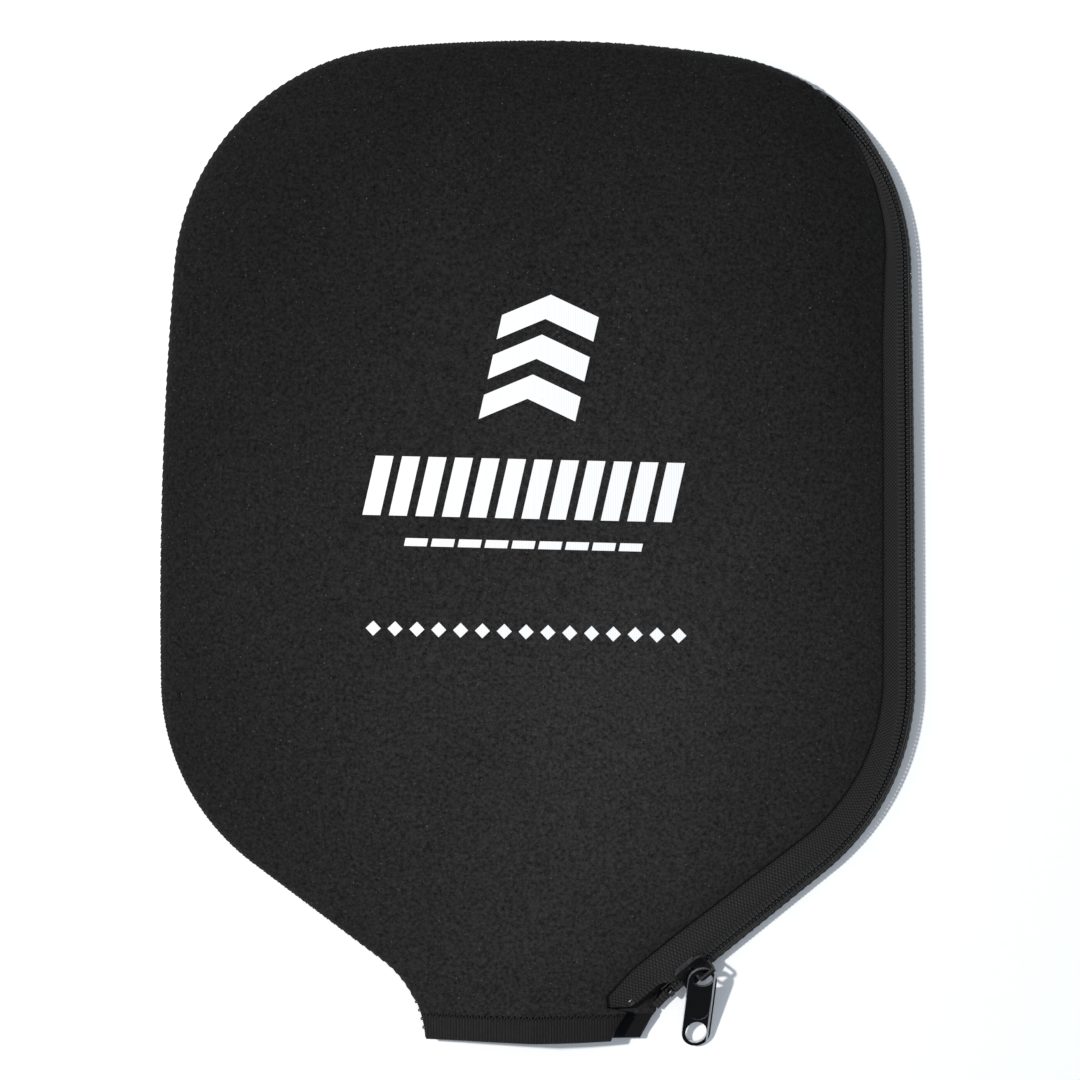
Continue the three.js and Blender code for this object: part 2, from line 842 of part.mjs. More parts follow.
function backHemStitching() {
  const y = HEM_HEIGHT - 1.2;
  const ring = (share) => {
    const height = backUnder(...acrossNeck(share, y, SEAM_SETBACK)) - 0.25 - BAND;
    return threadRing(y, height - 0.4);
  };
  return sweep(evenly(0.01, 0.99, 16), ring, (share, a, b) => [
    ...acrossNeck(share, a, SEAM_SETBACK),
    b,
  ]);
}

// ---------------------------------------------------------------- slider and pull

const PLATE_LENGTH = 10.8;
const PLATE_WIDTH = 7.9;
const PLATE = 1;
const OUTER_PLATE_FROM = STRAND_TOP + 0.35;
const INNER_PLATE_TO = TAPE_LEVEL - TAPE_HALF - GAP;
const FLANGE = 0.6;
const FLANGE_TIP = TAPE_LEVEL + TAPE_HALF + GAP;
const BRIDGE_WIDTH = 1;
const BRIDGE_CLEAR = 6;
const BRIDGE_THICK = 0.8;
const BRIDGE_LEG = 0.6;
const BRIDGE_FROM = 0.1;
const BRIDGE_TO = 4.6;
const PIVOT_ALONG = 2.5;
const PIVOT_OUT = 4.6;

// The slider's own frame: along the zip towards the shoulder, across towards the front panel,
// and out of the chain's face.
function sliderFrame() {
  const { tilt } = chainAt(SLIDER_REST_S);
  const at = outlineAt(ZIP_HALF, SLIDER_REST_S);
  const inward = new THREE.Vector3(at.inX, at.inY, 0);
  const up = new THREE.Vector3(0, 0, 1);
  const along = inward.clone().cross(up);
  const across = inward
    .clone()
    .multiplyScalar(Math.cos(tilt))
    .addScaledVector(up, Math.sin(tilt));
  const out = along.clone().cross(across);
  const { inset, height } = chainAt(SLIDER_REST_S);
  return new THREE.Matrix4()
    .makeBasis(along, across, out)
    .setPosition(at.x + at.inX * inset, at.y + at.inY * inset, height);
}

function block(alongFrom, alongTo, acrossFrom, acrossTo, outFrom, outTo) {
  const geometry = new THREE.BoxGeometry(
    alongTo - alongFrom,
    acrossTo - acrossFrom,
    outTo - outFrom,
  );
  geometry.translate(
    (alongFrom + alongTo) / 2,
    (acrossFrom + acrossTo) / 2,
    (outFrom + outTo) / 2,
  );
  return toSolid(geometry);
}

// A plate with the slider's outline: broad at the mouth, rounded to a narrower tail.
function sliderPlate(from, thickness) {
  const l = PLATE_LENGTH / 2;
  const w = PLATE_WIDTH / 2;
  const shape = new THREE.Shape();
  shape.moveTo(-l + 1.2, -w);
  shape.lineTo(l - 3.2, -w);
  shape.quadraticCurveTo(l - 0.1, -w + 0.5, l, 0);
  shape.quadraticCurveTo(l - 0.1, w - 0.5, l - 3.2, w);
  shape.lineTo(-l + 1.2, w);
  shape.quadraticCurveTo(-l, w - 0.2, -l + 0.3, w - 1.6);
  shape.quadraticCurveTo(-l + 1, 0, -l + 0.3, -w + 1.6);
  shape.quadraticCurveTo(-l, -w + 0.2, -l + 1.2, -w);
  const geometry = new THREE.ExtrudeGeometry(shape, {
    depth: thickness,
    bevelEnabled: false,
    curveSegments: 6,
  });
  geometry.translate(0, 0, from);
  return toSolid(geometry);
}

// The arch that the pull hangs from, as a flat strap bent over the outer plate.
function bridge() {
  const foot = OUTER_PLATE_FROM + PLATE - 0.3;
  const top = BRIDGE_CLEAR + BRIDGE_THICK;
  const near = BRIDGE_FROM;
  const far = BRIDGE_TO;
  const leg = BRIDGE_LEG;
  const arch = new THREE.Shape();
  arch.moveTo(near - leg, foot);
  arch.lineTo(near - leg, top - 1.2);
  arch.quadraticCurveTo(near - leg, top, near - leg + 1.2, top);
  arch.lineTo(far + leg - 1.2, top);
  arch.quadraticCurveTo(far + leg, top, far + leg, top - 1.2);
  arch.lineTo(far + leg, foot);
  arch.lineTo(far, foot);
  arch.lineTo(far, BRIDGE_CLEAR - 0.6);
  arch.quadraticCurveTo(far, BRIDGE_CLEAR, far - 0.6, BRIDGE_CLEAR);
  arch.lineTo(near + 0.6, BRIDGE_CLEAR);
  arch.quadraticCurveTo(near, BRIDGE_CLEAR, near, BRIDGE_CLEAR - 0.6);
  arch.lineTo(near, foot);
  arch.closePath();
  const geometry = new THREE.ExtrudeGeometry(arch, {
    depth: BRIDGE_WIDTH,
    bevelEnabled: false,
    curveSegments: 5,
  });
  geometry.rotateX(Math.PI / 2);
  geometry.translate(0, BRIDGE_WIDTH / 2, 0);
  return toSolid(geometry);
}

function sliderBody() {
  const l = PLATE_LENGTH / 2;
  const w = PLATE_WIDTH / 2;
  const outerTop = OUTER_PLATE_FROM + PLATE;
  const post = 0.6;
  const solid = sliderPlate(OUTER_PLATE_FROM, PLATE)
    .add(sliderPlate(INNER_PLATE_TO - PLATE, PLATE))
    .add(block(-l + 1, -l + 3.6, -post, post, INNER_PLATE_TO - 0.2, OUTER_PLATE_FROM + 0.2))
    .add(block(-l + 1.3, l - 3.3, w - FLANGE, w, FLANGE_TIP, outerTop - 0.2))
    .add(block(-l + 1.3, l - 3.3, -w, FLANGE - w, FLANGE_TIP, outerTop - 0.2))
    .add(bridge());
  const geometry = fromSolid(solid);
  geometry.applyMatrix4(sliderFrame());
  return geometry;
}

const PULL_BEYOND = 0.7;
const PULL_LENGTH = 24.7;
const PULL_WIDTH = 8.2;
const PULL_THICK = 1.1;
const PULL_RIM = 0.35;
const PULL_OFFSET = 0.5;
const PULL_DROP = 18.8;
const PULL_ROLL = 8;
const EYE_FROM = 0.5;
const EYE_LENGTH = 4.4;
const EYE_HALF = 3;
const HOLE_WIDTH = 6.2;
const HOLE_LENGTH = 6.8;
const HOLE_EDGE = 0.95;

// The pull's own frame: down its length from the pivot, across it, and out of its face. It hangs
// from the bridge, drops to the table almost straight towards the neck, and leans with the slider.
function pullFrame() {
  const pivot = new THREE.Vector3(PIVOT_ALONG, 0, PIVOT_OUT).applyMatrix4(sliderFrame());
  const level = new THREE.Vector3(-0.1, -1, 0).normalize();
  const drop = radians(PULL_DROP);
  const down = level.clone().multiplyScalar(Math.cos(drop)).setZ(-Math.sin(drop));
  const levelAcross = new THREE.Vector3(-level.y, level.x, 0);
  const across = levelAcross.applyAxisAngle(down, -radians(PULL_ROLL));
  const face = down.clone().cross(across);
  pivot.addScaledVector(across, -PULL_OFFSET);
  return new THREE.Matrix4().makeBasis(down, across, face).setPosition(pivot);
}

function roundedBar(from, to, halfWidth) {
  const shape = new THREE.Shape();
  const r = halfWidth;
  shape.absarc(from + r, 0, r, Math.PI / 2, (3 * Math.PI) / 2, false);
  shape.absarc(to - r, 0, r, -Math.PI / 2, Math.PI / 2, false);
  return shape;
}

function pullTab() {
  const from = -PULL_BEYOND;
  const to = PULL_LENGTH - PULL_BEYOND;
  const outline = roundedBar(from, to, PULL_WIDTH / 2);
  const eye = new THREE.Path();
  eye.absellipse(EYE_FROM + EYE_LENGTH / 2, 0, EYE_LENGTH / 2, EYE_HALF, 0, 2 * Math.PI, true);
  const hole = new THREE.Path();
  const holeMiddle = to - HOLE_EDGE - HOLE_LENGTH / 2;
  hole.absellipse(holeMiddle, 0, HOLE_LENGTH / 2, HOLE_WIDTH / 2, 0, 2 * Math.PI, true);
  outline.holes.push(eye, hole);
  const plate = new THREE.ExtrudeGeometry(outline, {
    depth: PULL_THICK,
    bevelEnabled: false,
    curveSegments: 10,
  });
  plate.translate(0, 0, -PULL_THICK / 2);
  const web = roundedBar(6, to - HOLE_LENGTH - 1.6, PULL_WIDTH / 2 - 1);
  const recess = (level) => {
    const geometry = new THREE.ExtrudeGeometry(web, {
      depth: PULL_RIM,
      bevelEnabled: false,
      curveSegments: 6,
    });
    geometry.translate(0, 0, level);
    return toSolid(geometry);
  };
  const solid = toSolid(plate)
    .subtract(recess(PULL_THICK / 2 - PULL_RIM + 0.05))
    .subtract(recess(-PULL_THICK / 2 - 0.05));
  const geometry = fromSolid(solid);
  geometry.applyMatrix4(pullFrame());
  return geometry;
}

// ---------------------------------------------------------------- materials

function jerseyNeoprene() {
  return new THREE.MeshStandardMaterial({ color: 0x1d1f22, roughness: 0.92, metalness: 0 });
}

function hemKnit() {
  return new THREE.MeshStandardMaterial({ color: 0x24262a, roughness: 0.95, metalness: 0 });
}

function zipTapeWeave() {
  return new THREE.MeshStandardMaterial({ color: 0x1b1919, roughness: 0.85, metalness: 0 });
}

function coilNylon() {
  return new THREE.MeshStandardMaterial({ color: 0x141416, roughness: 0.4, metalness: 0 });
}

function sewingThread() {
  return new THREE.MeshStandardMaterial({ color: 0x2b2d31, roughness: 0.7, metalness: 0 });
}

function blackEnamel() {
  return new THREE.MeshStandardMaterial({ color: 0x08080a, roughness: 0.18, metalness: 0.6 });
}

function dullMetal() {
  return new THREE.MeshStandardMaterial({ color: 0x6f7276, roughness: 0.35, metalness: 1 });
}

// ---------------------------------------------------------------- assembly

const paddleCase = new THREE.Group();
paddleCase.name = "paddle_case";

function addPiece(name, geometry, material) {
  const mesh = new THREE.Mesh(geometry, material);
  mesh.name = name;
  paddleCase.add(mesh);
}

const SPLIT = 0.2;
const STOP_GAP = 0.3;
const coilTop = ZIP_START + 2.4 + STOP_GAP;
const fixedEnd = SLIDER_OPEN_S - SPLIT;
const lipStart = SLIDER_OPEN_S + SPLIT;
const strandEnd = zipEnd() - 2.2;

addPiece("back_panel", backPanel(), jerseyNeoprene());
addPiece("front_panel", cutAtFold(wholeFrontPanel(), 1), jerseyNeoprene());
addPiece("neck_lip_panel", cutAtFold(wholeFrontPanel(), -1), jerseyNeoprene());
addPiece("closed_seam_thread", closedSeamThread(), sewingThread());
addPiece("back_zip_tape", backTape(), zipTapeWeave());
addPiece("front_zip_tape", frontTape(ZIP_START, fixedEnd), zipTapeWeave());
addPiece("lip_zip_tape", frontTape(lipStart, zipEnd()), zipTapeWeave());
addPiece("back_coil", coil(coilTop, strandEnd, false), coilNylon());
addPiece("front_coil", coil(coilTop, fixedEnd, true), coilNylon());
addPiece("lip_coil", coil(lipStart, strandEnd, true), coilNylon());
addPiece("zip_bottom_stop", bottomStop(), dullMetal());
addPiece("back_top_stop", strandStop(strandEnd + STOP_GAP, false), dullMetal());
addPiece("front_top_stop", strandStop(strandEnd + STOP_GAP, true), dullMetal());
addPiece("back_zip_stitching", backZipStitching(), sewingThread());
addPiece("front_zip_stitching", frontZipStitching(ZIP_START + 1, fixedEnd), sewingThread());
addPiece("lip_zip_stitching", frontZipStitching(lipStart, zipEnd() - 1), sewingThread());
addPiece("back_hem_band", backHemBand(), hemKnit());
addPiece("corner_hem_band", cutAtFold(frontHemBand(), 1), hemKnit());
addPiece("front_hem_band", cutAtFold(frontHemBand(), -1), hemKnit());
addPiece("back_hem_stitching", backHemStitching(), sewingThread());
addPiece("corner_hem_stitching", cutAtFold(frontHemStitching(), 1), sewingThread());
addPiece("front_hem_stitching", cutAtFold(frontHemStitching(), -1), sewingThread());
addPiece("slider_body", sliderBody(), blackEnamel());
addPiece("pull_tab", pullTab(), blackEnamel());

// The frame's origin is the middle of the underside of the whole object's bounding box.
function centreOnBase(group) {
  const box = new THREE.Box3().setFromObject(group, true);
  const middle = box.getCenter(new THREE.Vector3());
  group.children.forEach((mesh) => mesh.geometry.translate(-middle.x, -middle.y, -box.min.z));
}

centreOnBase(paddleCase);

export default paddleCase;
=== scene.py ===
"""The looks of a padded neoprene cover for one paddle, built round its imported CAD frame.

Shapes are worked out in millimetres in the part's own plan, X across and Y up from the neck hem,
with the same outline and the same height functions as the CAD panels. add_mesh() turns them into
metres in the row frame.
"""
import math

import bpy
import numpy as np
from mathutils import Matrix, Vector


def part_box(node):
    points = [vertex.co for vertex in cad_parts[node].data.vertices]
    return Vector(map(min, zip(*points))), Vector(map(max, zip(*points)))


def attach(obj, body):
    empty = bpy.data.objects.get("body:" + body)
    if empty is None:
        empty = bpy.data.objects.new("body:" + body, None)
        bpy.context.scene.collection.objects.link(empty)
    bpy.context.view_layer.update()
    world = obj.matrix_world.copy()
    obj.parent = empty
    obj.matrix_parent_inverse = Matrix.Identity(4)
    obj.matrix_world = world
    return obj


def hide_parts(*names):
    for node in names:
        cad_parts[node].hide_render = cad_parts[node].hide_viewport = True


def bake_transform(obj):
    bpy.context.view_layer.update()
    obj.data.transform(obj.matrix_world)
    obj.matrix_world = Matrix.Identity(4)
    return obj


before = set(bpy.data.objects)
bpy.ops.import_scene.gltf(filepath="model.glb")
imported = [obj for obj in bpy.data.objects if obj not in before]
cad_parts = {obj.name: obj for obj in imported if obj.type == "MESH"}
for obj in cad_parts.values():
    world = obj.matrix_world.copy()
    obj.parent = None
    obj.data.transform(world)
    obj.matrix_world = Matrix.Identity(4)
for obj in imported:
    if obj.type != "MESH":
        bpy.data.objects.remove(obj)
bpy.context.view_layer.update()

# ---------------------------------------------------------------- driving dimensions, millimetres

CASE_LENGTH = 285.6
NEOPRENE = 3.0
GAP = 0.3

# Each half of the outline, from the crown's middle down: arcs as (radius, degrees), the side as
# (radius, length), the diagonal's length and the throat's radius.
CLOSED_HALF = dict(
    mirror=-1,
    crown=(500, 4.8),
    corner=(68.5, 80.5),
    side=(1190, 119.2),
    lower=(65.5, 52.1),
    diagonal=46,
    throat=30,
)
ZIP_HALF = dict(
    mirror=1,
    crown=(338, 9.4),
    corner=(61.1, 79.6),
    side=(7500, 119.5),
    lower=(69.7, 51.1),
    diagonal=56,
    throat=30,
)

FRONT_EDGE_TOP = 6.4
EDGE_DROP = 0.8
EDGE_DROP_REACH = 1.2
UNDERSIDE_SLOPE = 0.1
BODY_RISE = 13.1
NECK_RISE = 8.0
PUFF_WIDTH = 60.0
PUFF_POWER = 2.2
NECK_BLEND_HEIGHT = 120.0

SEAM_HEIGHT = 4.5
SEAM_SETBACK = 0.5
SEAM_ROLL = 0.5
ROLLED_EDGE = SEAM_SETBACK - SEAM_ROLL
CURL_WIDTH = 9.0
BACK_CURL = 2.4
ZIP_EDGE_LIFT = 0.3
TAPE_DIP = 1.4
SEAM_STITCH = 2.5
ZIP_STITCH = 1.9
ZIP_STITCH_PITCH = 2.7

ZIP_START = 82.0
STRAND_INNER = 0.9
STRAND_OUTER = 3.0
TAPE_LEVEL = -0.62
TAPE_HALF = 0.27
FACE_TAPE_HALF = 0.16
TAPE_CLEARANCE = 0.12
SHOULDER_BULGE = 0.7
TAPE_STEP = 1.2
TAPE_TUCKED = 8.0
TUCK_IN = 1.4
TAPE_UNDERLAP = 5.5
BACK_EDGE_SETBACK = 3.4
STRAND_END_HEIGHT = 12.1
FRONT_STRAND_PAST_THROAT = 11.0
PANEL_EDGE_PAST_THROAT = 14.4
MOUTH_SLOPE = 1.235
MOUTH_CUT_LENGTH = 17.0
MOUTH_CUT_INSET = 5.6
START_SINK = 1.2
EDGE_PRESS = 0.9
PRESS_REACH = 4.5
PRESSED_LEAST = 1.1
SQUEEZED_THICKNESS = (1.6, 2.8)
PARTED_FRONT = 2.0
PARTED_BACK = 0.8
PARTED_SINK = 0.7
TOOTH_PITCH = 1.2
TOOTH_RADIUS = 0.34

SLIDER_REST = 46.5
SLIDER_TRAVEL = 40.0
FOLD_START = (-26.5, 0.0)
FOLD_END_INSET = 11.3
FOLD_SOFTNESS = 8.0
FOLD_LEVEL = 10.0

HEM_HEIGHT = 8.0
BAND = 0.8
FRONT_HEM_SHORT = 9.0
HEM_LIFT = 1.75
RIB_PITCH = 1.3

WELD_DISTANCE = 0.0005
MM = 0.001


# ---------------------------------------------------------------- the outline

def smoothstep(value, start, end):
    t = np.clip((value - start) / (end - start), 0, 1)
    return t * t * (3 - 2 * t)


def mix(a, b, share):
    return a + (b - a) * share


def stacked(*coordinates):
    """Grids of coordinates as one grid of points."""
    return np.stack(np.broadcast_arrays(*coordinates), axis=-1)


def hump(value, middle, reach):
    return np.exp(-((value - middle) / reach) ** 2)


def corner_angles(count):
    return np.arange(count) * 2 * math.pi / count


def outline_runs(half):
    """The half's tangent runs as (curvature, length), from the crown's middle down to the hem."""
    def arc(radius, turn):
        return (-1 / radius, radius * math.radians(turn))
    side_radius, side_length = half["side"]
    throat = half["throat"]
    return [
        arc(*half["crown"]),
        arc(*half["corner"]),
        (-1 / side_radius, side_length),
        arc(*half["lower"]),
        (0, half["diagonal"]),
        (1 / throat, throat * math.radians(70)),
    ]


def run_start(half, index):
    return sum(length for _, length in outline_runs(half)[:index])


def outline_at(half, s):
    """x, y and the inward normal's x, y at lengths s along one half."""
    s = np.asarray(s, float)
    x = np.zeros_like(s)
    y = np.full_like(s, CASE_LENGTH)
    heading = np.zeros_like(s)
    start = 0
    for bend, length in outline_runs(half):
        step = np.clip(s - start, 0, length)
        turned = heading + bend * step
        if bend == 0:
            x = x + step * np.cos(heading)
            y = y + step * np.sin(heading)
        else:
            x = x + (np.sin(turned) - np.sin(heading)) / bend
            y = y - (np.cos(turned) - np.cos(heading)) / bend
        heading = turned
        start += length
    return half["mirror"] * x, y, half["mirror"] * np.sin(heading), -np.cos(heading)


def length_at_height(half, height):
    """How far along one half the outline comes down to a height."""
    s = np.linspace(0, run_start(half, 6), 4000)
    y = outline_at(half, s)[1]
    return np.interp(height, y[::-1], s[::-1])


def zip_share(half, s):
    """0 along the closed seam, 1 along the zip."""
    if half is CLOSED_HALF:
        return np.zeros_like(np.asarray(s, float))
    return smoothstep(np.asarray(s, float), ZIP_START - 10, ZIP_START - 2)


SAMPLE_STEP = 0.4


def sampled_outline():
    rows = []
    for half in (CLOSED_HALF, ZIP_HALF):
        end = float(length_at_height(half, 0))
        s = np.linspace(0, end, int(end / SAMPLE_STEP))
        x, y, nx, ny = outline_at(half, s)
        rows.append(np.stack([x, y, nx, ny, zip_share(half, s)]))
    return np.concatenate(rows, axis=1)


OUTLINE = sampled_outline()


def nearest_outline(x, y):
    """Distance to the sewn and zipped outline, and how much of a zip side the nearest point is."""
    x, y = np.ravel(x), np.ravel(y)
    best = np.empty(len(x), int)
    for chunk in np.array_split(np.arange(len(x)), len(x) // 1500 + 1):
        dx = x[chunk, None] - OUTLINE[0]
        dy = y[chunk, None] - OUTLINE[1]
        best[chunk] = (dx * dx + dy * dy).argmin(1)
    px, py, nx, ny, share = OUTLINE[:, best]
    vx, vy = x - px, y - py
    along = np.abs(vx * ny - vy * nx)
    off = np.abs(vx * nx + vy * ny)
    return np.hypot(off, np.maximum(along - SAMPLE_STEP / 2, 0)), share


# ---------------------------------------------------------------- the panels' surfaces

def hem_share(y):
    """1 where the hem band covers a panel, 0 above it."""
    return np.clip((HEM_HEIGHT + 0.65 - y) / 0.3, 0, 1)


def above_hem(y):
    """0 at the hem band, rising to 1 clear of it."""
    return smoothstep(y, HEM_HEIGHT + 1, HEM_HEIGHT + 3.5)


def front_surfaces(x, y):
    """Top and underside of the front panel before the hem squeezes it."""
    shape = np.shape(x)
    distance, share = (v.reshape(shape) for v in nearest_outline(x, y))
    rise = NECK_RISE + (BODY_RISE - NECK_RISE) * smoothstep(y, 0, NECK_BLEND_HEIGHT)
    inward = np.minimum(distance / PUFF_WIDTH, 1)
    puff = rise * (1 - (1 - inward) ** PUFF_POWER)
    rounded = EDGE_DROP * np.exp(-distance / EDGE_DROP_REACH) * (1 - share)
    top = FRONT_EDGE_TOP + puff - rounded
    under = np.maximum(top - NEOPRENE, SEAM_HEIGHT + GAP / 2 + UNDERSIDE_SLOPE * distance)
    return top, under


def soft_unevenness(x, y):
    """The slight waviness that foam laid by hand has, in millimetres of height."""
    broad = np.sin(x / 21 + 1.1) * np.sin(y / 27 + 0.4)
    narrow = np.sin(x / 9 - y / 13 + 0.7) * np.sin(x / 17 + y / 11)
    return 0.22 * broad + 0.08 * narrow


def front_top(x, y):
    top, under = front_surfaces(x, y)
    return top - hem_share(y) * np.minimum(BAND + GAP, 0.5 * (top - under))


def front_under(x, y):
    return front_surfaces(x, y)[1]


def back_surfaces(x, y):
    """Top and underside of the back panel, curled up at the closed seam, dipped for the tape."""
    shape = np.shape(x)
    distance, share = (v.reshape(shape) for v in nearest_outline(x, y))
    near = np.maximum(1 - distance / CURL_WIDTH, 0) ** 2
    inner = np.maximum(distance - BACK_EDGE_SETBACK, 0)
    zip_lift = ZIP_EDGE_LIFT * np.maximum(1 - inner / 4, 0) ** 2
    under = np.maximum(mix(BACK_CURL * near, zip_lift, share), HEM_LIFT * hem_share(y))
    curled = (SEAM_HEIGHT - GAP / 2 - NEOPRENE) * near
    dip = TAPE_DIP * np.maximum(1 - inner / 1.9, 0) ** 2 * above_hem(y)
    return NEOPRENE + (1 - share) * curled - share * dip, under


# ---------------------------------------------------------------- meshes

def plan_origin():
    """Where the row frame's origin lies in the plan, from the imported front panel's box."""
    low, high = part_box("front_panel")
    reach = OUTLINE[0].min() + SEAM_SETBACK
    return np.array([reach - low.x / MM, CASE_LENGTH - SEAM_SETBACK - high.y / MM, 0])


ORIGIN = plan_origin()


def to_row(points):
    """Plan millimetres to row-frame metres."""
    return (np.asarray(points, float) - ORIGIN) * MM


class Shape:
    """Points and faces of one object, gathered piece by piece, with a weave coordinate each."""

    def __init__(self):
        self.points = []
        self.weave = []
        self.faces = []
        self.count = 0

    def add_points(self, points, weave=None):
        points = np.asarray(points, float).reshape(-1, 3)
        if weave is None:
            weave = np.zeros((len(points), 3))
        self.points.append(points)
        self.weave.append(np.asarray(weave, float).reshape(-1, 3))
        first = self.count
        self.count += len(points)
        return first

    def add_tube(self, rings, weave=None):
        """The capped tube through rings, which are stations x corners x 3."""
        rings = np.asarray(rings, float)
        stations, size = rings.shape[:2]
        first = self.add_points(rings, weave)
        last = first + (stations - 1) * size
        for near in range(first, last, size):
            far = near + size
            for i in range(size):
                j = (i + 1) % size
                self.faces.append((near + i, near + j, far + j, far + i))
        self.faces.append(tuple(range(first + size - 1, first - 1, -1)))
        self.faces.append(tuple(range(last, last + size)))

    def add_slab(self, top, under, folded=False):
        """A closed slab between two grids of points, rows x columns x 3. The first row of a
        folded one lies double on itself, so it has no wall."""
        rows, columns = top.shape[:2]
        first = self.add_points(top)
        below = self.add_points(under) - first
        for k in range(rows - 1):
            for j in range(columns - 1):
                a = first + k * columns + j
                b, c, d = a + 1, a + columns, a + columns + 1
                self.faces.append((a, c, d, b))
                self.faces.append((a + below, b + below, d + below, c + below))
        edge = [first + k * columns + columns - 1 for k in range(rows)]
        edge += [first + (rows - 1) * columns + j for j in range(columns - 2, -1, -1)]
        edge += [first + k * columns for k in range(rows - 2, -1, -1)]
        if not folded:
            edge += [first + j for j in range(1, columns)]
        for p, q in zip(edge, edge[1:]):
            self.faces.append((p, q, q + below, p + below))


def weld(points, faces):
    """Merges coincident points, and drops the faces and corners that this collapses."""
    keys = np.round(points / WELD_DISTANCE).astype(np.int64)
    _, first, index = np.unique(keys, axis=0, return_index=True, return_inverse=True)
    index = index.ravel()
    kept = []
    for face in faces:
        corners = []
        for i in face:
            k = int(index[i])
            if not corners or (k != corners[-1] and k != corners[0]):
                corners.append(k)
        if len(corners) > 2:
            kept.append(corners)
    return first, kept


def signed_volume(points, faces):
    total = 0.0
    for face in faces:
        a = points[face[0]]
        for i in range(1, len(face) - 1):
            total += np.dot(a, np.cross(points[face[i]], points[face[i + 1]]))
    return total


def add_mesh(name, shape, material, smooth_angle=50):
    """One object from a Shape, with its faces turned outwards and soft shading."""
    points = np.concatenate(shape.points)
    weave = np.concatenate(shape.weave)
    first, faces = weld(points, shape.faces)
    points, weave = points[first], weave[first]
    if signed_volume(points, faces) < 0:
        faces = [face[::-1] for face in faces]
    mesh = bpy.data.meshes.new(name)
    mesh.from_pydata(to_row(points).tolist(), [], faces)
    attribute = mesh.attributes.new("weave", "FLOAT_VECTOR", "POINT")
    attribute.data.foreach_set("vector", weave.astype(np.float32).ravel())
    mesh.materials.append(material)
    mesh.shade_smooth()
    mesh.set_sharp_from_angle(angle=math.radians(smooth_angle))
    mesh.update()
    obj = bpy.data.objects.new(name, mesh)
    bpy.context.scene.collection.objects.link(obj)
    return obj


# ---------------------------------------------------------------- node materials

SLIDER_FACE = (0.387, -0.479, 0.788)
PULL_FACE = (0.107, -0.331, 0.937)
PULL_ACROSS = (0.990, -0.054, -0.132)
# The band of painted highlight down the pull's side, in metres along PULL_ACROSS.
PULL_HIGHLIGHT_BAND = (0.0548, 0.0553)
HIGHLIGHT_BAND_FADE = 0.0001


class Graph:
    """A material, with short names for the few nodes that it is made of."""

    def __init__(self, name):
        self.material = bpy.data.materials.new(name)
        self.material.use_nodes = True
        self.tree = self.material.node_tree
        self.tree.nodes.clear()

    def feed(self, socket, value):
        if isinstance(value, (int, float, tuple)):
            socket.default_value = value
        else:
            self.tree.links.new(value, socket)

    def node(self, kind, feeds=None, **settings):
        """A new node with its settings. feeds gives its sockets numbers, colours or sockets."""
        made = self.tree.nodes.new(kind)
        for key, value in settings.items():
            setattr(made, key, value)
        for key, value in (feeds or {}).items():
            self.feed(made.inputs[key], value)
        return made

    def finish(self, feeds):
        """Adds the shader, and returns the material."""
        shader = self.node("ShaderNodeBsdfPrincipled", feeds)
        self.node("ShaderNodeOutputMaterial", {0: shader.outputs[0]})
        return self.material

    def place(self, weave=False, stretch=(1, 1, 1)):
        """Object coordinates in metres, or the weave attribute in millimetres."""
        if weave:
            source = self.node("ShaderNodeAttribute", attribute_name="weave").outputs["Vector"]
        else:
            source = self.node("ShaderNodeTexCoord").outputs["Object"]
        feeds = {"Vector": source, "Scale": stretch}
        return self.node("ShaderNodeMapping", feeds).outputs["Vector"]

    def noise(self, place, scale, detail, roughness):
        feeds = {"Vector": place, "Scale": scale, "Detail": detail, "Roughness": roughness}
        return self.node("ShaderNodeTexNoise", feeds).outputs["Fac"]

    def bands(self, place, scale, direction, distortion):
        feeds = {"Vector": place, "Scale": scale, "Distortion": distortion}
        return self.node("ShaderNodeTexWave", feeds, bands_direction=direction).outputs["Fac"]

    def range(self, value, low, high, to_low=0.0, to_high=1.0):
        feeds = {"Value": value, "From Min": low, "From Max": high}
        feeds.update({"To Min": to_low, "To Max": to_high})
        return self.node("ShaderNodeMapRange", feeds).outputs["Result"]

    def math(self, operation, a, b):
        return self.node("ShaderNodeMath", {0: a, 1: b}, operation=operation).outputs[0]

    def along(self, vector, direction):
        """How far a vector reaches along a direction."""
        feeds = {0: vector, 1: direction}
        made = self.node("ShaderNodeVectorMath", feeds, operation="DOT_PRODUCT")
        return made.outputs["Value"]

    def zone(self, middle, reach):
        """1 at a point of the plan, falling to 0 on the ellipse of the given reach about it."""
        scale = np.array([1 / (reach[0] * MM), 1 / (reach[1] * MM), 0])
        source = self.node("ShaderNodeTexCoord").outputs["Object"]
        feeds = {"Vector": source, "Scale": tuple(scale)}
        feeds["Location"] = tuple(-to_row([*middle, 0]) * scale)
        source = self.node("ShaderNodeMapping", feeds).outputs["Vector"]
        made = self.node("ShaderNodeTexGradient", {0: source}, gradient_type="SPHERICAL")
        return made.outputs["Fac"]

    def blend(self, share, first, second):
        """A colour from first to second by share; each is a colour or a socket."""
        made = self.node("ShaderNodeMix", data_type="RGBA")
        self.feed(made.inputs["Factor"], share)
        for key, value in (("A", first), ("B", second)):
            socket = [s for s in made.inputs if s.name == key and s.type == "RGBA"][0]
            self.feed(socket, (*value, 1) if isinstance(value, tuple) else value)
        return [s for s in made.outputs if s.type == "RGBA"][0]

    def bump(self, height, strength, distance, normal=None):
        feeds = {"Height": height, "Strength": strength, "Distance": distance}
        if normal is not None:
            feeds["Normal"] = normal
        return self.node("ShaderNodeBump", feeds).outputs["Normal"]


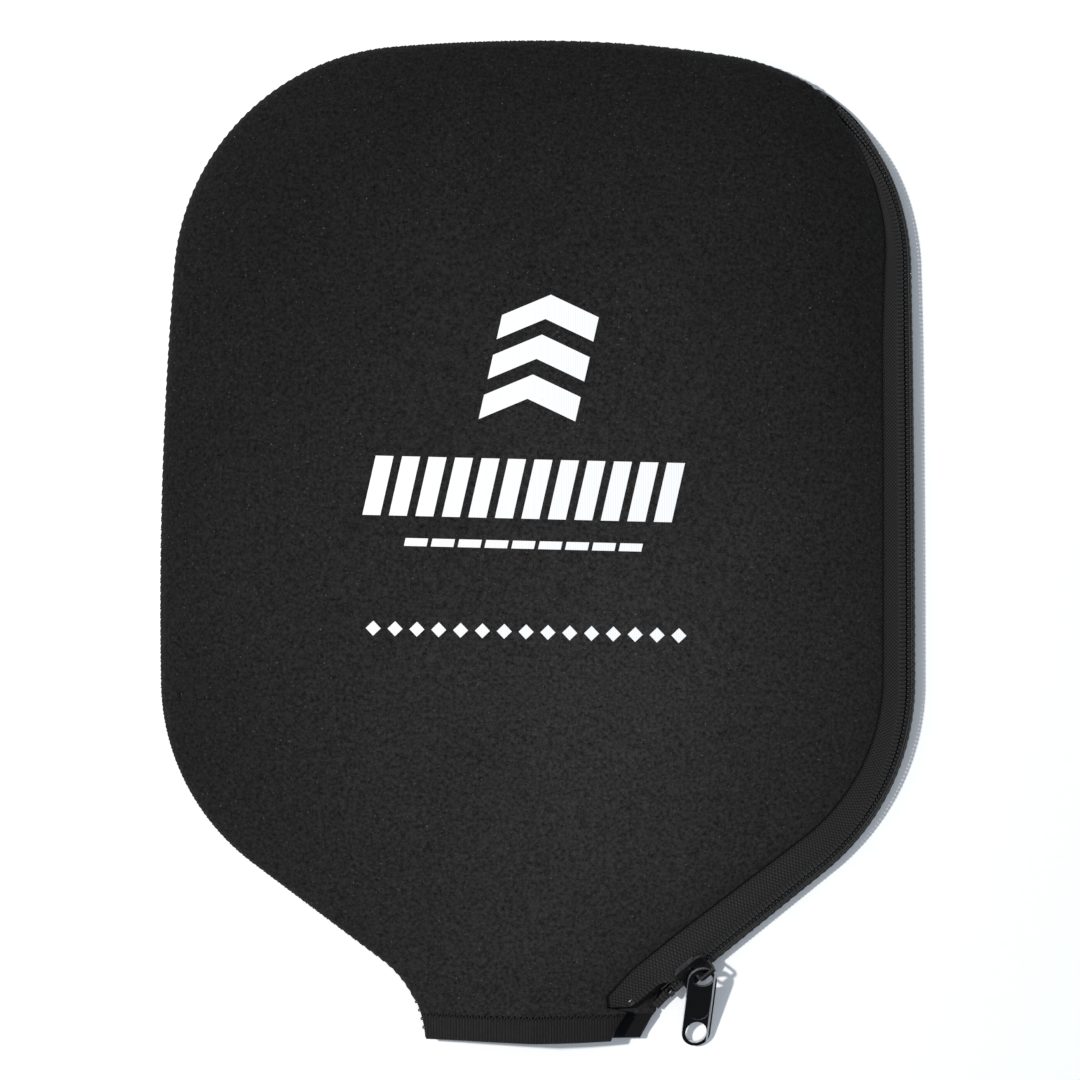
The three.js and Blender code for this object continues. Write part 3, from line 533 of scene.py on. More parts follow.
def jersey():
    """Black jersey-faced neoprene: fine knit rows, mottled pile and stray lint, with painted light
    that makes it paler over the lower middle and darker towards the edges."""
    graph = Graph("jersey")
    place = graph.place()
    mottle = graph.noise(place, 950, 4, 0.8)
    grain = graph.range(mottle, 0.30, 0.70, 0.15, 1.85)
    patch = graph.range(graph.noise(place, 30, 3, 0.5), 0.3, 0.7, 0.93, 1.07)
    # Painted light: the colour is paler over the lower middle and darker towards the edges, as
    # light falls on the puffed face.
    level = graph.range(graph.zone((16, 90), (135, 190)), 0.0, 0.9, 0.0084, 0.0215)
    tone = graph.math("MULTIPLY", graph.math("MULTIPLY", level, grain), patch)
    cooler = graph.math("MULTIPLY", tone, 0.965)
    colour = graph.node("ShaderNodeCombineColor", {"Red": tone, "Green": cooler, "Blue": cooler})
    lint = graph.range(graph.noise(place, 1900, 1, 0.5), 0.755, 0.80)
    wales = graph.bands(place, 480, "X", 1.2)
    courses = graph.bands(place, 430, "Y", 1.2)
    normal = graph.bump(graph.math("MULTIPLY", wales, courses), 0.35, 0.00012)
    return graph.finish({
        "Base Color": graph.blend(lint, colour.outputs[0], (0.10, 0.10, 0.103)),
        "Normal": graph.bump(mottle, 0.5, 0.00025, normal),
        "Roughness": graph.range(mottle, 0.2, 0.8, 0.98, 0.86),
        "Specular IOR Level": 0.06,
        "Sheen Weight": 0.035,
        "Sheen Roughness": 0.5,
        "Sheen Tint": (0.8, 0.82, 0.86, 1),
    })


def hem_knit():
    """The ribbed binding at the neck: ribs run along Y, with paler ridges and a dusty pile, and
    painted shade that darkens it at the zip's corner."""
    graph = Graph("hem_knit")
    ribs = graph.bands(graph.place(weave=True), 1 / RIB_PITCH / 2, "X", 0.6)
    pile = graph.noise(graph.place(), 1300, 3, 0.7)
    tone = graph.math("MULTIPLY", ribs, graph.range(pile, 0.3, 0.7, 0.3, 1.2))
    colour = graph.blend(tone, (0.0098, 0.0096, 0.0100), (0.0235, 0.0228, 0.0235))
    # Painted shade: the binding is darker at the zip's corner, where the step down to the back hem
    # lies in shadow.
    painted_corner_shade = graph.range(graph.zone((30, 3), (13, 16)), 0.1, 0.5)
    return graph.finish({
        "Base Color": graph.blend(painted_corner_shade, colour, (0.0075, 0.0075, 0.0080)),
        "Normal": graph.bump(pile, 0.5, 0.0002, graph.bump(ribs, 0.25, 0.0002)),
        "Roughness": 0.92,
        "Specular IOR Level": 0.08,
        "Sheen Weight": 0.05,
        "Sheen Roughness": 0.4,
    })


def zip_tape_weave():
    """Knitted zip tape: slanting rows that cross, and ribs where it is stretched over the coil's
    turns, slightly brown."""
    graph = Graph("zip_tape")
    weave = graph.place(weave=True)
    left, right = (
        graph.range(graph.bands(side, 0.60, "DIAGONAL", 0.8), 0, 1, 0.15, 1)
        for side in (weave, graph.place(True, (-1, 1, 1)))
    )
    across = graph.node("ShaderNodeSeparateXYZ", {0: weave}).outputs["Y"]
    over_coil = graph.range(across, 1.9, 2.5, 1, 0)
    turns = graph.math("MULTIPLY", graph.bands(weave, 0.262, "X", 0.7), over_coil)
    beside_coil = graph.math("SUBTRACT", 1.0, over_coil)
    knitted = graph.math("MULTIPLY", graph.math("MULTIPLY", left, right), beside_coil)
    yarn = graph.math("ADD", graph.math("MULTIPLY", turns, 0.75), knitted)
    fuzz = graph.noise(weave, 2.6, 3, 0.75)
    tone = graph.math("MULTIPLY", yarn, graph.range(fuzz, 0.3, 0.7, 0.2, 1.8))
    return graph.finish({
        "Base Color": graph.blend(tone, (0.0052, 0.0050, 0.0050), (0.035, 0.0325, 0.0317)),
        "Normal": graph.bump(tone, 0.45, 0.00015),
        "Roughness": 0.75,
        "Specular IOR Level": 0.15,
        "Sheen Weight": 0.05,
    })


def coil_nylon():
    """Black nylon monofilament with a dull shine and faint dust in it."""
    graph = Graph("coil")
    dust = graph.noise(graph.place(), 1500, 2, 0.5)
    clinging = graph.range(dust, 0.45, 0.75)
    return graph.finish({
        "Base Color": graph.blend(clinging, (0.0085, 0.0080, 0.0079), (0.027, 0.0252, 0.0245)),
        "Roughness": graph.range(dust, 0.3, 0.7, 0.32, 0.5),
        "Specular IOR Level": 0.35,
    })


def sewing_thread():
    """Black polyester thread: two plies twisted, seen as slanting bands."""
    graph = Graph("thread")
    plies = graph.bands(graph.place(weave=True), 1.1, "DIAGONAL", 0.2)
    return graph.finish({
        "Base Color": graph.blend(plies, (0.008, 0.008, 0.0082), (0.030, 0.029, 0.030)),
        "Normal": graph.bump(plies, 0.6, 0.0001),
        "Roughness": 0.6,
        "Specular IOR Level": 0.2,
    })


def black_enamel(name, face, shine, side=None, highlight_band=(0, 0)):
    """Glossy black enamel over metal. Its face keeps the black; the edges that turn away from the
    face are lightened towards the metal, as light as shine says, partly as wear and partly as a
    painted highlight. A band between two distances along a side direction is a painted highlight
    too."""
    graph = Graph(name)
    marks = graph.noise(graph.place(stretch=(1, 0.25, 1)), 1400, 4, 0.7)
    normal = graph.node("ShaderNodeTexCoord").outputs["Normal"]
    edge = graph.range(graph.along(normal, face), 0.95, 0.60)
    if side is not None:
        distance = graph.along(graph.place(), side)
        inside = graph.range(distance, highlight_band[0], highlight_band[0] + HIGHLIGHT_BAND_FADE, 0, 0.9)
        outside = graph.range(distance, highlight_band[1], highlight_band[1] + HIGHLIGHT_BAND_FADE, 0.9, 0)
        edge = graph.math("MAXIMUM", edge, graph.math("MINIMUM", inside, outside))
    # Painted highlight: the edges and the band are lightened towards metal, the edges partly as
    # wear.
    worn_and_highlit = graph.math("MULTIPLY", edge, graph.range(marks, 0.3, 0.6, 0.55, 1.0))
    metal = (shine, shine, 1.05 * shine)
    return graph.finish({
        "Base Color": graph.blend(worn_and_highlit, (0.0022, 0.0022, 0.0024), metal),
        "Metallic": graph.math("MULTIPLY", worn_and_highlit, 0.9),
        "Roughness": graph.range(marks, 0.3, 0.7, 0.12, 0.26),
        "Normal": graph.bump(marks, 0.08, 0.00005),
        "Specular IOR Level": 0.13,
    })


def stop_metal():
    """Crimped metal blackened like the slider, brushed bright in places by the tool."""
    graph = Graph("stop_metal")
    brushed = graph.noise(graph.place(stretch=(1, 1, 6)), 900, 3, 0.6)
    bright = graph.range(brushed, 0.4, 0.7)
    return graph.finish({
        "Base Color": graph.blend(bright, (0.02, 0.02, 0.021), (0.13, 0.13, 0.135)),
        "Roughness": graph.range(brushed, 0.3, 0.7, 0.22, 0.42),
        "Metallic": 1,
    })


def print_ink():
    """White screen ink pressed into the knit, with faint wales and pinholes."""
    graph = Graph("print_ink")
    place = graph.place()
    wales = graph.bands(place, 480, "X", 1.2)
    holes = graph.range(graph.noise(place, 2300, 2, 0.6), 0.70, 0.78)
    return graph.finish({
        "Base Color": graph.blend(holes, (0.76, 0.76, 0.77), (0.32, 0.32, 0.33)),
        "Normal": graph.bump(wales, 0.25, 0.0001),
        "Roughness": 0.55,
    })


def floor_paper():
    """Pale paper with a slight tooth."""
    graph = Graph("floor_paper")
    tooth = graph.noise(graph.place(), 300, 3, 0.5)
    return graph.finish({
        "Base Color": graph.blend(tooth, (0.90, 0.905, 0.92), (0.93, 0.935, 0.95)),
        "Normal": graph.bump(tooth, 0.05, 0.0001),
        "Roughness": 0.85,
    })


JERSEY = jersey()
HEM = hem_knit()
TAPE = zip_tape_weave()
COIL = coil_nylon()
THREAD = sewing_thread()
METAL = stop_metal()
INK = print_ink()


# ---------------------------------------------------------------- the padded panels

ROWS_PER_RUN = (34, 78, 96, 48, 36, 11)
NECK_ROWS_FROM = 12.0
EDGE_COLUMNS = (0, 0.04, 0.16, 0.36, 0.65, 1.05, 1.6, 2.4, 3.6, 5.5, 8, 11.5, 16)
INNER_COLUMNS = 10
SPINE_TOP = 178.0
SPINE_POWER = 1.6
PUCKER_DEPTH = 0.16
SEAM_CRACK = 0.06
SCALLOP = 0.22
SEAM_RADIUS = 2.6
FRONT_ZIP_RADIUS = 1.5
BACK_ZIP_RADIUS = 0.6

# The zip half with its diagonal carried straight on past the throat, as the front strand and the
# front panel's edge run.
FRONT_HALF = dict(ZIP_HALF, diagonal=ZIP_HALF["diagonal"] + 30)
ZIP_END = float(length_at_height(ZIP_HALF, STRAND_END_HEIGHT))
DIAGONAL_S = run_start(ZIP_HALF, 4)
THROAT_S = run_start(ZIP_HALF, 5)
FRONT_END = THROAT_S + FRONT_STRAND_PAST_THROAT
SLIDER_REST_S = DIAGONAL_S + SLIDER_REST
SLIDER_OPEN_S = SLIDER_REST_S - SLIDER_TRAVEL
LOWER_S = run_start(ZIP_HALF, 3)
PARTING_S = SLIDER_REST_S + 6


def front_edge(s):
    """How far the front panel's edge is set back from the outline: over the zip's first end it
    covers the chain, then it draws back from it."""
    knots = [
        (ZIP_START - 4, ROLLED_EDGE),
        (ZIP_START + 2, 0.9),
        (ZIP_START + 8, 2.5),
        (ZIP_START + 21, 4.4),
        (ZIP_START + 30, 6.0),
        (ZIP_START + 38, 7.1),
        (ZIP_START + 60, 9.0),
        (ZIP_START + 80, 10.0),
        (LOWER_S, 10.6),
        (DIAGONAL_S, 12.9),
        (THROAT_S - 12, 14.2),
        (THROAT_S + 4, 14.2),
        (THROAT_S + PANEL_EDGE_PAST_THROAT, 12.8),
    ]
    return np.interp(np.asarray(s, float), *zip(*knots))


def back_edge(s):
    """How far the back panel's edge is set back from the outline, down the zip's side."""
    y = outline_at(ZIP_HALF, s)[1]
    rolled = SEAM_SETBACK - SEAM_ROLL * (y > NECK_ROWS_FROM)
    zipped = mix(rolled, BACK_EDGE_SETBACK, zip_share(ZIP_HALF, s))
    return mix(SEAM_SETBACK, zipped, above_hem(y))


def row_lengths(half):
    lengths = [0.0]
    for run, count in enumerate(ROWS_PER_RUN):
        start = run_start(half, run)
        last = run == len(ROWS_PER_RUN) - 1
        end = float(length_at_height(half, NECK_ROWS_FROM)) if last else run_start(half, run + 1)
        lengths += list(np.linspace(start, end, count + 1)[1:])
    return np.array(lengths)


def spine_height(outline_height):
    """Where a row meets the middle: level at the neck, gathered towards the crown's centre."""
    share = np.clip((outline_height - NECK_ROWS_FROM) / (CASE_LENGTH - NECK_ROWS_FROM), 0, 1)
    gathered = (SPINE_TOP - NECK_ROWS_FROM) * (1 - (1 - share) ** SPINE_POWER)
    return np.minimum(outline_height, NECK_ROWS_FROM + gathered)


HEM_ROWS = (11.2, 10.2, 9.4, 8.66, 8.34, 6.5, 4.5, 2.8, 1.25)


def hem_rows(half, setback):
    """The panel's edge points where the hem band lies over it."""
    y = np.array(HEM_ROWS)
    x = outline_at(half, length_at_height(half, y))[0] - half["mirror"] * setback
    return x, y


def scalloped(inset, s, sewn):
    """The sewn edge draws in at every other row, where a stitch is."""
    return inset + SCALLOP * (np.arange(len(s)) % 2) * sewn


def side_points(half, s, inset, hem, heights=None):
    """A panel's edge from the crown to the hem, and the heights its rows start from."""
    x, y, nx, ny = outline_at(half, s)
    hem_x, hem_y = hem
    edge = np.stack([np.append(x + nx * inset, hem_x), np.append(y + ny * inset, hem_y)])
    return edge, np.append(y if heights is None else heights, hem_y)


def closed_side():
    s = row_lengths(CLOSED_HALF)
    inset = scalloped(ROLLED_EDGE, s, True)
    return side_points(CLOSED_HALF, s, inset, hem_rows(CLOSED_HALF, SEAM_SETBACK))


def back_zip_side():
    """Behind the tape along the zip, then out to the hem band's end."""
    s = row_lengths(ZIP_HALF)
    inset = scalloped(back_edge(s), s, s < ZIP_START)
    hem_x, hem_y = hem_rows(ZIP_HALF, SEAM_SETBACK)
    hem_x = hem_x - np.interp(hem_y, [8.66, 11.2], [0, 2.6])
    return side_points(ZIP_HALF, s, inset, (hem_x, hem_y))


def front_zip_side():
    """Straight along the zip to the hem's upper edge, where the panel steps out under the band."""
    s = row_lengths(ZIP_HALF)
    heights = outline_at(ZIP_HALF, s)[1]
    last = s > THROAT_S + 0.001
    share = (s[last] - THROAT_S) / (s[-1] - THROAT_S)
    s[last] = THROAT_S + share * PANEL_EDGE_PAST_THROAT
    inset = scalloped(front_edge(s), s, s < ZIP_START)
    x, _, nx, _ = outline_at(FRONT_HALF, s[-1])
    hem_x, hem_y = hem_rows(ZIP_HALF, FRONT_HEM_SHORT)
    hem_x = mix(x + nx * inset[-1] + 0.2, hem_x, smoothstep(hem_y, 10.3, 8.9))
    return side_points(FRONT_HALF, s, inset, (hem_x, hem_y), heights)


def panel_grid(zip_side):
    """x, y and the distance from the edge over rows that cross the case from seam to zip."""
    edges, heights = zip(closed_side(), zip_side)
    spine = spine_height((heights[0] + heights[1]) / 2)
    sides = []
    for (x, y) in edges:
        length = np.hypot(x, y - spine)
        last = EDGE_COLUMNS[-1]
        shares = np.linspace(0, 1, INNER_COLUMNS + 1)[1:]
        inner = last + (length[:, None] - last) * shares
        distance = np.concatenate([np.tile(EDGE_COLUMNS, (len(length), 1)), inner], axis=1)
        share = distance / length[:, None]
        sides.append((x[:, None] * (1 - share), mix(y[:, None], spine[:, None], share), distance))
    return [np.concatenate([a, b[:, ::-1][:, 1:]], axis=1) for a, b in zip(*sides)]


def bullnose(distance, radius):
    """0 at an edge rising to 1 a radius in, as a quarter circle does."""
    return np.sqrt(np.clip(1 - (1 - np.minimum(distance / radius, 1)) ** 2, 0, 1))


def edge_press(distance, y, thickness):
    """How far the zip's stitching squeezes each face of the front panel, by the distance in from
    its edge; a thin panel isn't squeezed."""
    press = EDGE_PRESS * hump(np.maximum(distance, 0), 0, PRESS_REACH) * above_hem(y)
    return press * smoothstep(thickness, *SQUEEZED_THICKNESS)


def pressed_under(top, under, press):
    """The underside once it is pressed up, which leaves the panel its least thickness."""
    return np.maximum(np.minimum(under + press, top - press - PRESSED_LEAST), under)


def seam_pucker(x, y, distance):
    """The dents that the closed seam's stitches pull in the panel's edge."""
    dent = (np.arange(len(x)) % 2)[:, None] + np.zeros_like(x)
    return PUCKER_DEPTH * dent * np.exp(-distance / 1.6)


def add_panel(name, grid, surfaces, share, zip_radius, crack, puckers):
    """A padded panel: its edges are rolled, level with the seam or in the middle of its own
    thickness, and puckered on the top and the underside as far as the two puckers say."""
    x, y, distance = grid
    top, under = surfaces
    level = mix(SEAM_HEIGHT + crack, (top + under) / 2, share)
    nose = bullnose(distance, mix(SEAM_RADIUS, zip_radius, share))
    pucker = seam_pucker(x, y, distance) * (1 - share)
    top = level + (top - level) * nose - pucker * puckers[0]
    under = level + (under - level) * nose + pucker * puckers[1]
    shape = Shape()
    shape.add_slab(stacked(x, y, top), stacked(x, y, under), True)
    return add_mesh(name, shape, JERSEY, 70)


def front_panel():
    grid = panel_grid(front_zip_side())
    x, y, distance = grid
    top, under = front_surfaces(x, y)
    share = nearest_outline(x, y)[1].reshape(x.shape)
    top = top - hem_share(y) * np.minimum(BAND + GAP, 0.5 * (top - under))
    top = top + soft_unevenness(x, y) * smoothstep(distance, 4, 30) * smoothstep(y, 10, 40)
    press = edge_press(distance, y, top - under) * share
    under = pressed_under(top, under, press)
    surfaces = (top - press, under)
    return add_panel("front_panel_padded", grid, surfaces, share, FRONT_ZIP_RADIUS,
                     SEAM_CRACK / 2, (1, 0))


def back_panel():
    grid = panel_grid(back_zip_side())
    x, y, _ = grid
    surfaces = back_surfaces(x, y)
    share = nearest_outline(x, y)[1].reshape(x.shape)
    return add_panel("back_panel_padded", grid, surfaces, share, BACK_ZIP_RADIUS,
                     -SEAM_CRACK / 2, (0, 1))


# ---------------------------------------------------------------- the zip's surfaces

def chain_at(s):
    """The chain's distance in from the outline, its height and its tilt in radians."""
    s = np.asarray(s, float)
    shoulder = ZIP_START + 45
    inset = np.interp(s, [ZIP_START, ZIP_START + 24, ZIP_START + 52, LOWER_S, DIAGONAL_S],
                      [2.6, 2.8, 3.2, 3.4, 3.6])
    height = np.interp(s, [ZIP_START, shoulder, LOWER_S, DIAGONAL_S], [4.8, 5.3, 5.3, 5])
    tilt = np.interp(s, [ZIP_START, shoulder, shoulder + 35, LOWER_S, DIAGONAL_S],
                     [18, 38, 27, 27, 38])
    return inset, height, np.radians(tilt)


def chain_point(s, is_front, across, out):
    """From chain coordinates, across the chain and out of its face, to the distance in from the
    outline and the height. Beyond the slider the two strands part."""
    inset, height, tilt = chain_at(s)
    parting = smoothstep(s, PARTING_S, ZIP_END)
    shift = parting * (PARTED_FRONT if is_front else -PARTED_BACK)
    sink = START_SINK * (1 - smoothstep(s, ZIP_START + 4, ZIP_START + 34))
    if is_front:
        sink = sink + PARTED_SINK * parting
    return (
        inset + shift + across * np.cos(tilt) - out * np.sin(tilt),
        height - sink + across * np.sin(tilt) + out * np.cos(tilt),
    )


def place_on(half, s, inset, height):
    """Points of the plan from lengths along a half, distances in from it and heights."""
    x, y, nx, ny = outline_at(half, s)
    return stacked(x + nx * inset, y + ny * inset, height)


def tape_flat(s):
    """How far across from the chain the front tape stays flat before it rises to the panel."""
    reach = np.interp(s, [DIAGONAL_S - 15, DIAGONAL_S, PARTING_S, ZIP_END], [0.2, 1.4, 1.4, 0.4])
    return STRAND_OUTER + reach


def under_front_panel(s, inset):
    """Just under the front panel, where its edge is squeezed too."""
    x, y, nx, ny = outline_at(FRONT_HALF, s)
    x, y = x + nx * inset, y + ny * inset
    top, under = front_surfaces(x, y)
    press = edge_press(inset - front_edge(s), y, top - under)
    return inset, pressed_under(top, under, press) - TAPE_CLEARANCE - FACE_TAPE_HALF


def smooth_path(points, per_span):
    """Catmull-Rom through the points: stations x corners x 2."""
    points = np.asarray(points, float)
    padded = np.concatenate([points[:1], points, points[-1:]])
    result = []
    for i in range(1, len(padded) - 2):
        p0, p1, p2, p3 = padded[i - 1], padded[i], padded[i + 1], padded[i + 2]
        for t in np.arange(per_span) / per_span:
            result.append(0.5 * (2 * p1 + (p2 - p0) * t + (2 * p0 - 5 * p1 + 4 * p2 - p3) * t ** 2
                                 + (3 * p1 - p0 - 3 * p2 + p3) * t ** 3))
    result.append(points[-1])
    return np.array(result)


def mouth_cut(s, inset):
    """Shears a piece's stations along the zip, so that it ends level with the hem's edge."""
    share = smoothstep(s, FRONT_END - MOUTH_CUT_LENGTH, FRONT_END)
    return s + share * MOUTH_SLOPE * (inset - MOUTH_CUT_INSET)


def path_normals(path):
    """Unit normals of a section's path: corners x 2, or corners x 2 x stations."""
    step = np.gradient(path, axis=0)
    run = np.hypot(step[:, 0], step[:, 1])
    return np.stack([-step[:, 1] / run, step[:, 0] / run], axis=1)


def add_strip(shape, half, s, path, half_thickness):
    """A strip of tape along the zip side. path is corners x 2 x stations of inset and height."""
    offset = path_normals(path) * half_thickness
    ring = np.concatenate([path + offset, (path - offset)[::-1]])
    inset, height = ring[:, 0].T, ring[:, 1].T
    across = np.concatenate([[0], np.cumsum(np.hypot(*np.diff(path, axis=0).mean(2).T))])
    across = np.concatenate([across, across[::-1]])
    along = s[:, None] + np.zeros_like(inset)
    if half is FRONT_HALF:
        along = mouth_cut(along, inset)
    shape.add_tube(place_on(half, along, inset, height), stacked(along, across[None, :], 0))


def zip_stations(start, end, step):
    return np.linspace(start, end, max(2, int((end - start) / step) + 1))


def front_tape_path(s):
    """The front tape's section at each station: from the coil's crest to well under the panel."""
    edge = np.maximum(front_edge(s), 6.4)
    corners = [
        chain_point(s, True, 0.55, 0.78),
        chain_point(s, True, 1.3, 1.04),
        chain_point(s, True, 2.3, 0.95),
        chain_point(s, True, np.maximum(tape_flat(s), 3.3), 0.45),
        under_front_panel(s, edge - 0.4),
        under_front_panel(s, edge + TAPE_UNDERLAP / 2),
        under_front_panel(s, edge + TAPE_UNDERLAP),
    ]
    return smooth_path([np.stack(corner) for corner in corners], 3)


def front_tape():
    s = zip_stations(ZIP_START - TAPE_TUCKED, FRONT_END, TAPE_STEP)
    shape = Shape()
    add_strip(shape, FRONT_HALF, s, front_tape_path(s), FACE_TAPE_HALF)
    return add_mesh("front_zip_tape_woven", shape, TAPE)


def back_tape():
    s = zip_stations(ZIP_START - TAPE_TUCKED, ZIP_END + 4.5, TAPE_STEP)
    ones = np.ones_like(s)
    bulge = SHOULDER_BULGE * hump(s, ZIP_START + 12, 10)
    bulge = bulge - TUCK_IN * smoothstep(s, ZIP_START + 1, ZIP_START - 5)
    inset, level = chain_point(s, False, -STRAND_OUTER - 0.3, TAPE_LEVEL)
    corners = [
        chain_point(s, False, -STRAND_INNER + 0.1, TAPE_LEVEL),
        chain_point(s, False, -STRAND_OUTER + 0.6, TAPE_LEVEL),
        (inset - bulge, level),
        (0.35 - bulge, 1.7 * ones),
        (0.65 - bulge, 1.0 * ones),
        (1.35 * ones, 0.58 * ones),
        ((BACK_EDGE_SETBACK - 0.4) * ones, 0.5 * ones),
    ]
    path = smooth_path([np.stack(corner) for corner in corners], 3)
    shape = Shape()
    add_strip(shape, ZIP_HALF, s, path, TAPE_HALF)
    return add_mesh("back_zip_tape_woven", shape, TAPE)


TOOTH_PATH = (
    (2.72, -0.05), (2.76, 0.4), (2.45, 0.72), (1.7, 0.84), (1.0, 0.88),
    (0.5, 0.82), (0.3, 0.45), (0.55, 0.1), (1.0, -0.08),
)


def add_wires(shape, half, centres, path, radius, place):
    """Bent wires across the zip, one at each centre: path holds its corners in chain coordinates,
    and place turns s, across and out into inset and height."""
    path = np.asarray(path, float)
    angle = corner_angles(6)
    ring = path[:, :, None] + radius * np.cos(angle) * path_normals(path)[:, :, None]
    across, out = ring[:, 0], ring[:, 1]
    for centre in centres:
        s = centre + radius * np.sin(angle)[None, :] + np.zeros_like(across)
        shape.add_tube(place_on(half, s, *place(s, across, out)))


def strand(is_front):
    """One strand's half of the outline, its tip, and the function that places its points; across
    is counted away from the other strand."""
    side = 1 if is_front else -1

    def place(s, across, out):
        return chain_point(s, is_front, side * across, out)

    if is_front:
        return FRONT_HALF, FRONT_END, place
    return ZIP_HALF, ZIP_END, place


def add_sweep(shape, half, s, across, out, place):
    """A section swept along the chain: across and out are stations x corners."""
    s = s[:, None]
    shape.add_tube(place_on(half, s, *place(s, across, out)))


def coil(is_front):
    """Formed nylon turns, one every tooth pitch, the two strands half a pitch apart, round a soft
    cord. The back strand shows the two threads that hold its turns."""
    half, tip, place = strand(is_front)
    end = tip - (1.8 if is_front else 2.6)
    start = ZIP_START + 7 + (0 if is_front else TOOTH_PITCH / 2)
    shape = Shape()
    add_wires(shape, half, np.arange(start, end, TOOTH_PITCH), TOOTH_PATH, TOOTH_RADIUS, place)
    s = zip_stations(start, end, TOOTH_PITCH / 3)
    ripple = 0.08 * np.cos(2 * math.pi * (s - start) / TOOTH_PITCH)
    lines = [(1.5, 0.3 + 0 * ripple, 0.9, 0.33)]
    if not is_front:
        lines += [(at, 1.12 + ripple, 0.17, 0.12) for at in (1.45, 2.2)]
    angle = corner_angles(8)
    for at, level, reach, depth in lines:
        out = level[:, None] + depth * np.sin(angle)
        add_sweep(shape, half, s, at + reach * np.cos(angle) + 0 * out, out, place)
    return add_mesh("front_coil_turns" if is_front else "back_coil_turns", shape, COIL, 80)


def stop_block(name, half, start, length, section, place):
    """A crimped metal stop: a rounded section swept a little way along the chain."""
    section = smooth_path(np.array(section + section[:1], float), 4)[:-1]
    end = start + length
    s = np.array([start, start + 0.06, start + 0.2, end - 0.2, end - 0.06, end])
    middle = section.mean(0)
    shrink = np.array([0.8, 0.93, 1, 1, 0.93, 0.8])[:, None, None]
    rings = middle + (section - middle) * shrink
    shape = Shape()
    add_sweep(shape, half, s, rings[..., 0], rings[..., 1], place)
    return add_mesh(name, shape, METAL)


def bottom_stop():
    section = [(-2.6, -0.15), (2.6, -0.15), (2.5, 1.2), (1.5, 1.5), (-1.5, 1.5), (-2.5, 1.2)]
    place = strand(True)[2]
    return stop_block("zip_bottom_stop_crimped", ZIP_HALF, ZIP_START + 0.4, 2.2, section, place)


def strand_stop(is_front):
    half, tip, place = strand(is_front)
    start = tip - (1.7 if is_front else 2.2)
    section = [(0.7, -0.2), (2.9, -0.2), (2.9, 0.9), (2.3, 1.4), (1.3, 1.4), (0.7, 0.9)]
    name = "front_strand_stop" if is_front else "back_strand_stop"
    return stop_block(name, half, start, 1.6, section, place)


# ---------------------------------------------------------------- stitching

def add_stitch(shape, ends, rise, radius):
    """One stitch between two points, arched by rise along a third vector. It is full in the
    middle and dives into the cloth at both ends."""
    a, b, up = (np.asarray(v, float) for v in (*ends, rise))
    t = np.linspace(0, 1, 7)[:, None]
    centre = a + (b - a) * t + up * np.sin(math.pi * t)
    length = np.linalg.norm(b - a)
    lift = up / np.linalg.norm(up)
    side = np.cross((b - a) / length, lift)
    side /= np.linalg.norm(side)
    angle = corner_angles(6)
    radii = radius * np.sqrt(np.clip(1 - (2 * t - 1) ** 6, 0.02, 1))
    ring = np.cos(angle)[:, None] * side + np.sin(angle)[:, None] * lift
    weave = stacked(t * length, angle[None, :] / 3, 0)
    shape.add_tube(centre[:, None, :] + radii[:, :, None] * ring, weave)


def outward_at(half, s):
    return place_on(half, s, -1, 0) - place_on(half, s, 0, 0)


def closed_seam_stitches():
    """Ladder stitches across the groove between the panels, from the hem over the crown."""
    shape = Shape()
    runs = [
        (CLOSED_HALF, 0.6, float(length_at_height(CLOSED_HALF, 2.0))),
        (ZIP_HALF, 1.2, ZIP_START - 2),
    ]
    for half, start, end in runs:
        for s in np.arange(start, end, SEAM_STITCH):
            low = place_on(half, s, 0.75, 3.3)
            high = place_on(half, s + 0.6, 0.75, 5.7)
            add_stitch(shape, (low, high), outward_at(half, s) * 0.62, 0.2)
    return add_mesh("closed_seam_stitches", shape, THREAD, 80)


def front_zip_stitches():
    """The line of stitches that holds the front tape, just outside the panel's edge."""
    shape = Shape()
    for s in np.arange(ZIP_START + 34, FRONT_END - 2.5, ZIP_STITCH_PITCH):
        ends = []
        for at in (s, s + ZIP_STITCH):
            inset = float(front_edge(at)) - 0.7
            insets, levels = front_tape_path(np.array([at]))[6:, :, 0].T
            level = np.interp(inset, insets, levels) + FACE_TAPE_HALF + 0.08
            ends.append(place_on(FRONT_HALF, mouth_cut(at, inset), inset, level))
        add_stitch(shape, ends, np.array([0, 0, 0.12]), 0.15)
    return add_mesh("front_zip_stitches", shape, THREAD, 80)


def back_zip_stitches():
    """The line of stitches that holds the back tape, on the outside of its turn."""
    shape = Shape()
    for s in np.arange(ZIP_START + 1.5, ZIP_END - 2.5, ZIP_STITCH_PITCH):
        ends = [place_on(ZIP_HALF, at, 0.12, 1.25) for at in (s, s + ZIP_STITCH)]
        add_stitch(shape, ends, outward_at(ZIP_HALF, s) * 0.1, 0.14)
    return add_mesh("back_zip_stitches", shape, THREAD, 80)


# ---------------------------------------------------------------- the neck hem

HEM_STATIONS = 260
ZIGZAG_PITCH = 1.7


def hem_sag(x):
    """How far the hem's lower edge is lifted: least right of the middle, where it sags."""
    return 0.95 - 0.55 * hump(x, 8, 24)


def across_neck(share, y, right_setback):
    """X at a share of the way from the closed side to the zip's side, at height y."""
    left = outline_at(CLOSED_HALF, length_at_height(CLOSED_HALF, y))[0] + SEAM_SETBACK + 0.3
    right = outline_at(ZIP_HALF, length_at_height(ZIP_HALF, y))[0] - right_setback - 0.2
    return mix(left, right, share)


HEM_FACE = (
    (8.1, -0.15), (8.0, 0.5), (7.7, 0.8), (6.5, 0.86), (5.0, 0.88), (3.4, 0.88), (2.0, 0.85),
    (1.2, 0.8),
)
HEM_TURN_FROM = 1.3


